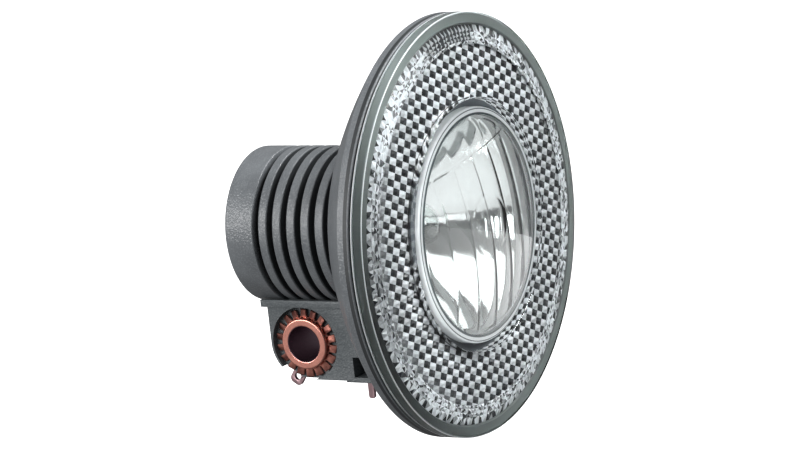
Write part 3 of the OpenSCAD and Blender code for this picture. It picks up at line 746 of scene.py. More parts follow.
@dataclass
class Housing:
    """Grey shell: grooved barrel, flared bell and the rim behind the clear flange."""

    rim_front: float = -2.8
    rim_smooth: float = -3.9
    crease: float = -5.2
    crease_round: float = 0.5
    bell_end: float = -22.3
    bell_round: float = 0.4
    bell_points: int = 30
    bulge: float = 1.0
    wall: float = 2.0
    rim_inner: float = FLANGE_R - 2.3
    groove_front: float = -22.8
    groove_pitch: float = 3.18
    groove_width: float = 1.36
    groove_floor: float = BARREL_R - 2.1
    grooves: int = 5
    fin_round: float = 0.22
    barrel_end: float = -38.7
    end_round: float = 0.25
    spigot_end: float = -43.6
    chamber_r: float = BARREL_R - 3.7
    bulkhead_front: float = -37.0
    shaft_hole_r: float = 2.68
    seal_inner: float = 38.3
    seal_outer: float = 39.4
    seal_floor: float = -3.6
    # How far under a groove's floor a face still counts as the groove's
    shade_slack: float = 0.4

    def bell(self, inset: float, r_from: float, r_to: float) -> list[Point]:
        """Runs along the bell: a circle through both ends of the cone, bulged behind it, moved in by inset.

        Args:
            inset: distance from the outer face.
            r_from: radius at the first point.
            r_to: radius at the last point.

        Returns:
            Corners with no rounding.
        """
        chord = np.array([FLANGE_R - BARREL_R, self.crease - self.bell_end])
        length = np.linalg.norm(chord)
        arc = length**2 / (8 * self.bulge) + self.bulge / 2
        outwards = np.array([chord[1], -chord[0]]) / length
        centre = np.array([BARREL_R, self.bell_end]) + chord / 2 - outwards * (arc - self.bulge)
        r = np.linspace(r_from, r_to, self.bell_points)
        h = centre[1] - np.sqrt((arc - inset) ** 2 - (r - centre[0]) ** 2)
        return [(float(across), float(along), 0.0) for across, along in zip(r, h)]

    def profile(self) -> np.ndarray:
        """Gives the shell's section, from the rim back along the outside and forward along the inside.

        Returns:
            Points of (radius, depth).
        """
        outer = [(FLANGE_R, self.rim_front, EASED), (FLANGE_R, self.rim_smooth, 0)]
        outer += [(FLANGE_R, self.crease, self.crease_round)]
        outer += self.bell(0, FLANGE_R, BARREL_R)[1:-1]
        outer += [(BARREL_R, self.bell_end, self.bell_round)]
        for i in range(self.grooves):
            front = self.groove_front - i * self.groove_pitch
            rear = front - self.groove_width
            outer += [(BARREL_R, front, self.fin_round), (self.groove_floor, front, EASED)]
            outer += [(self.groove_floor, rear, EASED), (BARREL_R, rear, self.fin_round)]
        outer += [(BARREL_R, self.barrel_end, self.end_round), (self.groove_floor, self.barrel_end, SOFT)]
        outer += [(self.groove_floor, self.spigot_end, SOFT)]
        inner = [(self.chamber_r, self.spigot_end, SOFT), (self.chamber_r, self.barrel_end, SOFT)]
        inner += [(self.shaft_hole_r, self.barrel_end, CRISP)]
        inner += [(self.shaft_hole_r, self.bulkhead_front, CRISP)]
        inner += [(self.chamber_r, self.bulkhead_front, EASED)]
        inner += self.bell(self.wall, self.chamber_r, self.rim_inner)
        rim = [(self.rim_inner, self.rim_front, SOFT), (self.seal_inner, self.rim_front, CRISP)]
        rim += [(self.seal_inner, self.seal_floor, CRISP), (self.seal_outer, self.seal_floor, CRISP)]
        rim += [(self.seal_outer, self.rim_front, CRISP)]
        return rounded(outer + inner + rim)

    def shaded_grooves_and_rim(self, r: np.ndarray, h: np.ndarray) -> np.ndarray:
        """Says which faces take the painted shade of the grooves, and which the darker rim.

        Args:
            r: radius of a face's middle.
            h: its depth.

        Returns:
            True for those faces.
        """
        groove = (h < self.groove_front + CRISP) & (r < BARREL_R - EASED)
        groove &= r > self.groove_floor - self.shade_slack
        return groove | ((r > FLANGE_R - SOFT) & (h > self.rim_smooth) & (h < self.rim_front - EASED))

    def build(self) -> None:
        """Builds the shell and dresses it and the seal."""
        shell = turned(self.profile()).piece("housing_shell")
        settle(shell, Body.LAMP, Slot.SHELL, GREY_NYLON, "housing")
        # Painted shade in the grooves, and the rim painted darker
        dress_faces(shell, GROOVE_SHADE_AND_DARK_RIM, self.shaded_grooves_and_rim)
        dress(BLACK_RUBBER, "rim_seal")


@dataclass
class Switch:
    """Turning cap at the rear end, with its rotor and contacts."""

    front: float = -40.06
    front_round: float = 0.25
    rear: float = -46.5
    edge: float = 0.6
    inner_r: float = BARREL_R - 1.8
    floor: float = -43.9
    grip_r: float = 10.5
    grip_depth: float = 1.2
    grip_bar: float = 5.0
    draft: float = 0.6
    # Radii between which the points on the rear face lie close, and the gap to the others
    fine_band: tuple[float, float] = (11.4, 9.4)
    fine_gap: float = 0.2
    fine_points: int = 22
    face_points: int = 46
    steps: int = 360

    def grip(self, r: np.ndarray, a: np.ndarray) -> np.ndarray:
        """Gives the finger recess's depth: full inside its circle and off the bar, with drafted walls."""
        off_bar = ease((np.abs(r * np.cos(a)) - self.grip_bar / 2) / self.draft)
        return self.grip_depth * off_bar * ease((self.grip_r - r) / self.draft)

    def build(self) -> None:
        """Builds the cap as one skin, with close points on the recess's wall, and dresses what it turns."""
        band_out, band_in = self.fine_band
        wall = rounded([(self.inner_r, self.front, 0), (BARREL_R, self.front, self.front_round),
                        (BARREL_R, self.rear, self.edge), (band_out + self.fine_gap, self.rear, 0)],
                       False, FINE_FAN)
        fine_r = np.linspace(band_out, band_in, self.fine_points)
        face_r = np.append(fine_r, np.linspace(band_in - self.fine_gap, 0, self.face_points))
        r = np.append(wall[:, 0], face_r)[None]
        h = np.append(wall[:, 1], np.full(face_r.shape, self.rear))[None]
        a = np.linspace(0, TURN, self.steps, endpoint=False)[:, None]
        lift = np.where(np.arange(r.size) >= len(wall), self.grip(r, a), 0)
        outside = Sheet.grid(on_axis(r, a, h + lift), True)
        hollow = rounded([(self.inner_r, self.front, 0), (self.inner_r, self.floor, EASED),
                          (0, self.floor, 0)], False)
        cap = (outside + turned(hollow, self.steps, False)).piece("switch_cap_shell")
        settle(cap, Body.SWITCH, Slot.SHELL, GREY_NYLON, "switch_cap")
        dress(BLACK_NYLON, "switch_rotor")
        dress(COPPER_LEAF, "switch_bridge")
        dress(STEEL_PLATED, "rotor_clip")


@dataclass
class RingPart:
    """What the pieces of the front ring share: its main sizes, and plates whose faces each have a tone."""

    lip_r: float = FLANGE_R - 2.1
    bevel_r: float = FLANGE_R - 4.9
    bore_r: float = 23.8
    skirt_r: float = FLANGE_R - 2.6
    under_bevel: float = -1.25
    plate_t: float = 0.25

    def plate(self, name: str, sheet: Sheet, tone: np.ndarray) -> Thing:
        """Makes a faceted plate of a sheet, closed at its back, and keeps each face's tone.

        Args:
            name: the plate's name.
            sheet: its front; a face of three corners repeats its last one.
            tone: a tone for each face.

        Returns:
            The plate.
        """
        used, faces = np.unique(sheet.faces, return_inverse=True)
        faces = faces.reshape(-1, 4)
        loops = [face[:3] if face[2] == face[3] else face for face in faces.tolist()]
        mesh = bpy.data.meshes.new(name)
        mesh.from_pydata(sheet.points[used] * MM, [], loops)
        work = bmesh.new()
        work.from_mesh(mesh)
        bmesh.ops.recalc_face_normals(work, faces=work.faces)
        if sum(face.normal.y for face in work.faces) > 0:
            bmesh.ops.reverse_faces(work, faces=work.faces)
        work.to_mesh(mesh)
        work.free()
        keep_tones(mesh, tone)
        plate = put(name, mesh)
        wall = plate.modifiers.new("plate", "SOLIDIFY")
        wall.thickness = self.plate_t * MM
        wall.offset = -1
        return plate


@dataclass
class Ring(RingPart):
    """Clear front ring: flange, bevel and dished face, with the painted shade of its thick edge and a
    painted highlight bead on its rear edge.
    """

    lip_round: float = 0.05
    bevel_rise: float = 0.8
    bevel_round: float = 0.15
    flange_t: float = 2.4
    bead: float = 0.2
    back: float = -2.2
    skirt_t: float = 1.2
    skirt_end: float = -4.4
    bead_points: int = 16
    # How far in and how deep the flange's front edge with its painted highlight reaches
    edge_in: float = 0.16
    edge_deep: float = 0.14
    core_r: float = FLANGE_R - 0.35
    core_front: float = -0.4
    core_rear: float = -2.05
    # Faces this near to core_r make up the core's side
    core_side: float = 0.06
    # Angles in degrees of the core's painted highlight and painted shade, and how far round each reaches
    light_at: float = 130.0
    light_width: float = 30.0
    dark_at: float = 203.0
    dark_width: float = 60.0
    # Tones of the core's side and of its front, and what the painted highlight adds and the painted shade
    # takes
    side_tone: float = 0.5
    side_light: float = 0.5
    front_tone: float = 0.4
    front_light: float = 0.33
    front_dark: float = 0.39

    def cover(self) -> Thing:
        """Turns the clear body: lip, bevel, dished face, a plain back behind the cells, and the skirt.

        Returns:
            The body.
        """
        skirt_inner = self.skirt_r - self.skirt_t
        section = rounded([(self.lip_r, 0, self.lip_round),
                           (self.bevel_r, self.bevel_rise, self.bevel_round),
                           (self.bore_r, RING_RISE, EASED), (self.bore_r, self.back, CRISP),
                           (skirt_inner, self.back, CRISP), (skirt_inner, self.skirt_end, SOFT),
                           (self.skirt_r, self.skirt_end, SOFT), (self.skirt_r, -self.flange_t, CRISP),
                           (FLANGE_R, -self.flange_t, 2 * self.bead), (FLANGE_R, 0, self.bevel_round)])
        return turned(section).piece("ring_cover")

    def rear_bead(self) -> Thing:
        """Turns the thin bead along the flange's rear edge, a painted highlight line: a circle of radius
        bead that touches both faces.

        Returns:
            The bead.
        """
        a = np.linspace(0, TURN, self.bead_points, endpoint=False)
        centre = [FLANGE_R - self.bead, self.bead - self.flange_t]
        section = centre + self.bead * np.stack([np.cos(a), np.sin(a)], axis=1)
        return turned(section).piece("flange_bead")

    def core(self) -> Thing:
        """Turns the flange's core, a dark piece of painted shade for the dark that its thick edge shows in
        its depth.

        Returns:
            The core, with a tone for each face.
        """
        section = rounded([(self.skirt_r, self.under_bevel, 0), (self.lip_r, self.core_front, CRISP),
                           (self.core_r, self.core_front, CRISP), (self.core_r, self.core_rear, CRISP),
                           (self.skirt_r, self.core_rear, 0)])
        core = turned(section).piece("flange_core")
        r, angle, _ = face_places(core)
        light = swell(angle - self.light_at, self.light_width)
        front = self.front_tone + self.front_light * light
        front -= self.front_dark * swell(angle - self.dark_at, self.dark_width)
        side = self.side_tone + self.side_light * light
        keep_tones(core.data, np.where(r > self.core_r - self.core_side, side, front))
        return core

    def build(self) -> None:
        """Builds the body, its core and its bead, and dresses the plate behind the ring; the bead and the
        body's front edge carry painted highlight.
        """
        cover = settle(self.cover(), Body.FRONT, Slot.RING, ACRYLIC_RING, "reflector_ring")
        dress_faces(cover, ACRYLIC_EDGE_HIGHLIGHT, lambda r, h: (r > FLANGE_R - self.edge_in) & (h > -self.edge_deep))
        settle(self.core(), Body.FRONT, Slot.RING, FLANGE_DEPTH_SHADE)
        settle(self.rear_bead(), Body.FRONT, Slot.RING, ACRYLIC_EDGE_HIGHLIGHT)
        dress(DARK_NYLON, "ring_backing")


@dataclass
class PrismField(RingPart):
    """Retro-reflecting field of prism cells behind the ring's face; its bright and dark cells are painted
    reflection.
    """

    front: float = -1.0
    edge: float = FLANGE_R - 4.6
    bore_gap: float = 0.1
    long: float = 2.1
    short: float = 1.31
    turn: float = -23.5
    lift: float = 0.3
    # Tone of a bright cell: its level, the painted light that the top adds and the painted shade that the
    # right takes, and how cells and facets stray
    level: float = 0.74
    top_gain: float = 0.26
    right_loss: float = 0.04
    cell_stray: float = 0.27
    facet_stray: float = 0.12
    # Tone of a dark cell: what every second facet adds, and how cells stray
    dark_facet: float = 0.015
    dark_stray: float = 0.012
    # At the left a painted grey veil lies over the outer cells under the bevel: share, radius, width of its
    # edge, and tone
    veil: float = 0.6
    veil_r: float = FLANGE_R - 8.0
    veil_fade: float = 0.8
    veil_tone: float = 0.22

    def tone(self, i: np.ndarray, j: np.ndarray, r: np.ndarray, a: np.ndarray) -> np.ndarray:
        """Args:
            i: the facet's column in the grid.
            j: its row.
            r: its radius.
            a: its angle round the ring.

        Returns:
            The tones.
        """
        # Painted reflection: bright and dark cells, painted lighter at the top and darker at the right, with
        # a painted veil at the left
        ci, cj = i // 2, j // 2
        stray = hashed(ci, cj)
        level = self.level + self.top_gain * np.clip(np.sin(a), 0, 1) ** 2 - self.right_loss * np.cos(a)
        bright = level * (1 - self.cell_stray * stray - self.facet_stray * hashed(i, j, ci))
        dark = self.dark_facet * (i % 2) + self.dark_stray * stray
        tone = np.where((ci + cj) % 2 == 1, bright, dark)
        veil = self.veil * ease((r - self.veil_r) / self.veil_fade) * np.clip(-np.cos(a), 0, 1)
        return tone + veil * (self.veil_tone - tone)

    def cells(self) -> Thing:
        """Lays out the prism cells.

        The cells are a grid of 2 by 2 facets each, turned on the lamp's axis. The middle of each stands
        lift proud, and points past the ring's edges are drawn onto them along their radius.

        Returns:
            The field.
        """
        reach = self.bevel_r + self.long
        nu, nv = (2 * int(reach / step) for step in (self.long, self.short))
        i, j = np.meshgrid(np.arange(-nu, nu + 1), np.arange(-nv, nv + 1), indexing="ij")
        u, v = i * self.long / 2, j * self.short / 2
        turn = math.radians(self.turn)
        x = u * math.cos(turn) - v * math.sin(turn)
        z = u * math.sin(turn) + v * math.cos(turn)
        r, a = np.hypot(x, z), np.arctan2(z, x)
        inner = self.bore_r + self.bore_gap
        inside = (r > inner) & (r < self.edge)
        peak = ((i % 2) & (j % 2)) * self.lift
        h = self.front - self.lift + np.where(inside, peak, 0)
        sheet = Sheet.grid(on_axis(np.clip(r, inner, self.edge), a, h))
        kept = sheet.faces[inside.reshape(-1)[sheet.faces].any(axis=1)]
        tone = self.tone(*(grid.reshape(-1)[kept[:, 0]] for grid in (i, j, r, a)))
        return self.plate("prism_cells", Sheet(sheet.points, kept), tone)

    def build(self) -> None:
        """Builds the field and dresses it."""
        settle(self.cells(), Body.FRONT, Slot.RING, PRISM_CELLS)


@dataclass
class BevelCrystals(RingPart):
    """Band of small facets under the ring's bevel, with painted reflection, highlight and shade."""

    pairs: int = 88
    rows: tuple[float, ...] = (0.0, 0.42, 0.64, 0.83, 1.0)
    inner_r: float = FLANGE_R - 6.1
    left_wider: float = 0.2
    rise: float = 0.6
    # How far corners stray round the ring, in columns, and how high they lift
    corner_stray: float = 0.5
    corner_lift: float = 0.25
    # Where a peak stands: across the outer row, its stray, its start and run in the column, and its lift
    wedge_peak: float = 0.3
    peak_stray: float = 0.06
    peak_from: float = 0.3
    peak_run: float = 0.4
    peak_lift: float = 0.2
    peak_swing: float = 0.15
    # Chances below which a facet is dark or middling, and the tones of facets and of wedges
    chances: tuple[float, float] = (0.22, 0.46)
    dark: float = 0.03
    middling: float = 0.3
    bright: float = 0.55
    bright_run: float = 0.35
    wedge_low: float = 0.3
    wedge_run: float = 0.6
    # Painted highlight at the upper left: place and width in degrees, the chance of a painted glint, and the
    # tone of the others
    glow_at: float = 130.0
    glow_width: float = 22.0
    spark_chance: float = 0.3
    spark_off: float = 0.2
    # Painted shade at the left
    left_shade_at: float = 185.0
    left_shade_width: float = 25.0
    left_shade_share: float = 0.5
    # Painted shade near the top, where the outer rows send no light this way
    shade_from: float = 79.0
    shade_to: float = 106.0
    shade_rows: int = 3
    shade_bright: float = 0.5
    shade_dark: float = 0.02

    def spot(self, across: np.ndarray, column: np.ndarray, lift: np.ndarray) -> np.ndarray:
        """Places points of the band: the inner edge lies a little further in at the left.

        Args:
            across: place from the outer edge, 0, to the inner edge, 1.
            column: place round the ring, in columns.
            lift: height over the band's own slope.

        Returns:
            The points.
        """
        a = column * TURN / (2 * self.pairs)
        inner = self.inner_r + self.left_wider * np.minimum(np.cos(a), 0)
        r = self.skirt_r + (inner - self.skirt_r) * across
        return on_axis(r, a, self.under_bevel + self.rise * across + lift).reshape(-1, 3)

    def tone(self, row: np.ndarray, column: np.ndarray, side: np.ndarray) -> np.ndarray:
        """Gives each facet's painted tone of reflection, highlight and shade.

        In the outer row every second cell is painted dark towards the edge, which gives the wedges. The
        other facets are painted bright or dark by chance, with a painted highlight at the upper left and
        painted shade at the left, and near the top most are painted dark.

        Args:
            row: the cell's row, from the outer edge.
            column: its column.
            side: the facet's place in the cell, 0 at the outer edge.

        Returns:
            The tones.
        """
        angle = column * 180 / self.pairs
        chance = hashed(row * 4 + side, column, column + 3)
        bright = self.bright + self.bright_run * hashed(column, side)
        tone = np.choose(np.digitize(chance, self.chances), [self.dark, self.middling, bright])
        spark = np.where(chance > self.spark_chance, 1.0, self.spark_off)
        tone = tone + swell(angle - self.glow_at, self.glow_width) * (spark - tone)
        wedge = column % 2 * (self.wedge_low + self.wedge_run * chance)
        tone = np.where((row == 0) & (side == 0), wedge, tone)
        tone = tone * (1 - self.left_shade_share * swell(angle - self.left_shade_at, self.left_shade_width))
        shaded = (angle > self.shade_from) & (angle < self.shade_to) & (row < self.shade_rows)
        return np.where(shaded, np.where(side == 1, self.shade_bright, self.shade_dark), tone)

    def crystals(self) -> Thing:
        """Lays out the facets: pyramids on a grid round the ring, each from four corners to a raised middle.

        Returns:
            The band.
        """
        edges = np.array(self.rows)
        rows, columns = len(edges) - 1, 2 * self.pairs
        i, j = np.meshgrid(np.arange(rows), np.arange(columns), indexing="ij")
        ci, cj = np.meshgrid(np.arange(rows + 1), np.arange(columns), indexing="ij")
        inner = (ci > 0) * (ci < rows)
        stray = self.corner_stray * inner * (hashed(ci, cj) - 0.5)
        corners = self.spot(edges[ci], cj + stray, self.corner_lift * hashed(cj, ci) * inner)
        across = np.where(i == 0, self.wedge_peak, (edges[1:] + edges[:-1])[i] / 2)
        across = across + self.peak_stray * (hashed(i, j, j) - 0.5)
        column = j + self.peak_from + self.peak_run * hashed(j, i)
        peaks = self.spot(across, column, self.peak_lift + self.peak_swing * hashed(i, j))
        here, beside = i * columns + j, i * columns + (j + 1) % columns
        loop = np.stack([here, beside, beside + columns, here + columns, here], axis=-1)
        peak = np.repeat((len(corners) + here)[..., None], 4, -1)
        pyramids = np.stack([loop[..., :4], loop[..., 1:], peak, peak], axis=-1)
        sheet = Sheet(np.vstack([corners, peaks]), pyramids.reshape(-1, 4))
        tone = self.tone(i[..., None], j[..., None], np.arange(4)[None, None])
        return self.plate("bevel_crystals", sheet, tone.reshape(-1))

    def build(self) -> None:
        """Builds the band and dresses it."""
        settle(self.crystals(), Body.FRONT, Slot.RING, PRISM_CELLS)


@dataclass
class Lens:
    """Clear dome with a thick round rim, fluted on its inside."""

    rim: float = 1.3
    crown: float = 3.4
    edge: float = 1.0
    thick: float = 2.2
    seat: float = -3.7
    inner_r: float = 20.3
    flute_pitch: float = 6.3
    flute_depth: float = 0.12
    flute_turn: float = 8.0
    flute_top: float = 13.3
    seams_aside: int = 3
    seam: float = 0.035
    seam_w: float = 0.35
    seam_apart: float = 0.005
    pillow_depth: float = 0.12
    ridge: float = 0.12
    ridge_w: float = 0.3
    middle_r: float = 5.7
    middle_depth: float = 0.15
    fade_gap: float = 0.4
    fade_w: float = 0.5
    # Inwards from the shelf: where the crease starts and ends, and the dome's last point
    crease: float = 0.5
    crease_end: float = 0.1
    dome_end: float = 0.15
    # Inwards from the lens's edge: the thin line on the rim, and half its width
    line_in: float = 0.36
    line_half: float = 0.09
    ribs: int = 5
    rib_depth: float = 0.12
    rib_points: int = 8
    rib_foot: float = 0.5
    # The wall's faces lie further out than inner_r less wall_slack, and under inner_h less wall_end
    wall_slack: float = 0.1
    wall_end: float = 0.05
    # Even lines along the flutes, points on each below and above the ridge, and points across the dome
    lines: int = 241
    below_points: int = 111
    above_points: int = 41
    dome_points: int = 16

    @property
    def shelf(self) -> float:
        """Gives the radius where the dome meets the rim."""
        return LENS_R - self.edge

    @property
    def inner_h(self) -> float:
        """Gives the depth where the inside meets the wall."""
        return float(self.dome(self.inner_r, self.thick))

    def dome(self, r: np.ndarray | float, inset: float) -> np.ndarray:
        """Gives the dome's depth at radius r: a sphere through the rim and the crown, moved in by inset."""
        ball = (self.shelf**2 + self.crown**2) / (2 * self.crown)
        return self.rim + self.crown - ball + np.sqrt((ball - inset) ** 2 - r**2)

    def optics(self, across: np.ndarray, up: np.ndarray) -> np.ndarray:
        """Gives the relief of the inside: upright flutes, pillows above them and a round middle.

        A flute is a parabola across one pitch, and a pillow a round one of the same width. A thin ridge
        parts them. The middle is a shallow dish, and the pattern fades out short of the wall.

        Args:
            across: place across the flutes, in millimetres from the axis.
            up: place along them.

        Returns:
            The relief in millimetres.
        """
        r = np.hypot(across, up)
        place = np.mod(across / self.flute_pitch, 1) - 0.5
        row = (up - self.flute_top) / self.flute_pitch - 0.5
        flute = self.flute_depth * (1 - 4 * place**2)
        flute -= self.seam * swell((0.5 - np.abs(place)) * self.flute_pitch, self.seam_w)
        pillow = self.pillow_depth * np.clip(1 - 4 * place**2 - 4 * row**2, 0, 1)
        relief = np.where(up > self.flute_top, pillow, flute)
        relief -= self.ridge * swell(up - self.flute_top, self.ridge_w)
        relief += self.middle_depth * np.clip(1 - (r / self.middle_r) ** 2, 0, 1)
        relief -= self.ridge / 4 * swell(r - self.middle_r, self.ridge_w)
        return relief * ease((self.inner_r - self.fade_gap - r) / self.fade_w)

    def angles(self) -> np.ndarray:
        """Gives the half turn's angles: even steps, and each seam's, where across = inner_r cos t.

        Returns:
            The angles in order.
        """
        seams = np.arange(-self.seams_aside, self.seams_aside + 1)
        cusps = np.arccos(self.flute_pitch * seams / self.inner_r)
        even = np.linspace(0, math.pi, self.lines)
        clear = np.abs(even[:, None] - cusps).min(axis=1) > self.seam_apart
        return np.sort(np.append(even[clear], cusps))

    def inside(self, t: np.ndarray) -> Sheet:
        """Builds the inside as a grid along the flutes.

        A line lies at across = inner_r cos t and runs inner_r sin t to both ends. It has equal steps up to
        the dividing ridge and equal steps above it.

        Args:
            t: the lines' angles.

        Returns:
            The sheet.
        """
        across, half = self.inner_r * np.cos(t)[:, None], self.inner_r * np.sin(t)[:, None]
        ridge = np.minimum(self.flute_top, half)
        below = -half + (ridge + half) * np.linspace(0, 1, self.below_points)
        above = ridge + (half - ridge) * np.linspace(0, 1, self.above_points)[1:]
        up = np.hstack([below, above])
        r = np.hypot(across, up)
        a = np.arctan2(up, across) + math.radians(self.flute_turn)
        return Sheet.grid(on_axis(r, a, self.dome(r, self.thick) + self.optics(across, up)))

    def section(self) -> np.ndarray:
        """Gives the skin's section: from the crown over the rim to the seat, and up the ribbed wall inside.

        The ribs are waves of (1 - cos) / 2, ribs of them over the wall's height.

        Returns:
            Points of (radius, depth).
        """
        top_r = np.linspace(0, self.shelf - self.crease, self.dome_points)
        top_r = np.append(top_r, self.shelf - self.dome_end)
        top = np.stack([top_r, self.dome(top_r, 0)], axis=1)
        foot = self.seat + self.rib_foot
        side = rounded([(self.shelf - self.crease_end, self.rim, 0), (LENS_R, self.rim, self.edge),
                        (LENS_R, self.seat, SOFT), (self.inner_r, self.seat, SOFT), (self.inner_r, foot, 0)],
                       False, FINE_FAN)
        points = self.rib_points * self.ribs + 1
        wave = 0.5 - 0.5 * np.cos(np.linspace(0, TURN * self.ribs, points))
        wall_h = np.linspace(foot, self.inner_h, points)
        wall = np.stack([self.inner_r + self.rib_depth * wave, wall_h], axis=1)
        return np.vstack([top, side, wall[1:]])

    def creased(self, r: np.ndarray, h: np.ndarray) -> np.ndarray:
        """Says which faces look dark: the crease between dome and rim, and the thin line on the rim.

        Args:
            r: radius of a face's middle.
            h: its depth.

        Returns:
            True for those faces.
        """
        crease = (r > self.shelf - self.crease) & (r < self.shelf - self.crease_end)
        line = np.abs(r - LENS_R + self.line_in) < self.line_half
        return (crease | line) & (h > 0)

    def build(self) -> None:
        """Builds the lens as one closed skin, turned at the angles where the inside's lines end."""
        t = self.angles()
        a = np.append(t, TURN - t[-2:0:-1])[:, None] + math.radians(self.flute_turn)
        section = self.section()
        skin = Sheet.grid(on_axis(section[None, :, 0], a, section[None, :, 1]), True)
        lens = (skin + self.inside(t)).piece("lens_dome")
        settle(lens, Body.FRONT, Slot.LENS, ACRYLIC_LENS, "lens")
        wall_r, wall_h = self.inner_r - self.wall_slack, self.inner_h - self.wall_end
        dress_faces(lens, ACRYLIC_WALL, lambda r, h: (r > wall_r) & (h < wall_h))
        # Painted highlight on the lens's rim
        dress_faces(lens, ACRYLIC_EDGE_HIGHLIGHT, lambda r, h: r > self.shelf - self.crease_end)
        dress_faces(lens, ACRYLIC_CREASE, self.creased)


@dataclass
class Lamp:
    """Mirror bowl and bulb."""

    bowl_r: float = 20.3
    front: float = -3.8
    focal: float = 6.3
    wall: float = 1.4
    flange_r: float = 24.8
    flange_t: float = 1.4
    neck_r: float = 5.0
    neck_outer: float = 6.8
    collar: float = -23.36
    glass_r: float = 3.9
    glass_wall: float = 0.6
    glass_tip: float = -7.86
    glass_gap: float = 0.1
    glass_edge: float = 0.3
    glass_end: float = 0.05
    bowl_points: int = 48
    tip_points: int = 14
    glass_steps: int = 96

    def bowl(self) -> Thing:
        """Turns the bowl: h = vertex + r^2 / (4 focal) inside, and that moved out along its normal behind.

        Returns:
            The bowl.
        """
        r = np.linspace(self.neck_r, self.bowl_r, self.bowl_points)
        vertex = self.front - self.bowl_r**2 / (4 * self.focal)
        h = vertex + r**2 / (4 * self.focal)
        slope = r / (2 * self.focal)
        size = np.hypot(slope, 1)
        back = np.stack([r + self.wall * slope / size, h - self.wall / size], axis=1)
        back = back[(back[:, 0] > self.neck_outer) & (back[:, 1] < self.front - self.flange_t)][::-1]
        rim = rounded([(self.bowl_r, self.front, 0), (self.flange_r, self.front, SOFT),
                       (self.flange_r, self.front - self.flange_t, SOFT), (*back[0], 0)], False)
        neck = rounded([(*back[-1], 0), (self.neck_outer, back[-1, 1], SOFT),
                        (self.neck_outer, self.collar, SOFT), (self.neck_r, self.collar, SOFT),
                        (self.neck_r, h[0], 0)], False)
        section = np.vstack([np.stack([r, h], axis=1)[1:-1], rim[:-1], back[:-1], neck])
        return turned(section).piece("reflector_bowl")

    def glass(self) -> Thing:
        """Turns the bulb's glass: a tube with a round tip, outside and inside.

        Returns:
            The glass.
        """
        a = np.linspace(0, math.pi / 2, self.tip_points)
        outer = np.stack([self.glass_r * np.sin(a), self.glass_tip - self.glass_r * (1 - np.cos(a))], axis=1)
        inner_r = self.glass_r - self.glass_wall
        inner = np.stack([inner_r * np.sin(a), outer[-1, 1] + inner_r * np.cos(a)], axis=1)[::-1]
        low = self.collar + self.glass_gap
        ends = [[self.glass_r, low], [self.glass_r - self.glass_edge, low - self.glass_end], [inner_r, low]]
        section = np.vstack([outer, ends, inner])
        return turned(section, self.glass_steps, False).piece("bulb_envelope")

    def build(self) -> None:
        """Builds the bowl and the glass, and dresses the bulb's other pieces."""
        settle(self.bowl(), Body.FRONT, Slot.BOWL, ALUMINIUM_MIRROR, "reflector")
        settle(self.glass(), Body.FRONT, Slot.BULB, BULB_GLASS, "bulb_glass")
        dress(NICKEL_PLATED, "bulb_base", "bulb_contact")
        dress(BLACK_NYLON, "bulb_insulator", "bulb_retainer")
        dress(TUNGSTEN_DRAWN, "bulb_filament")


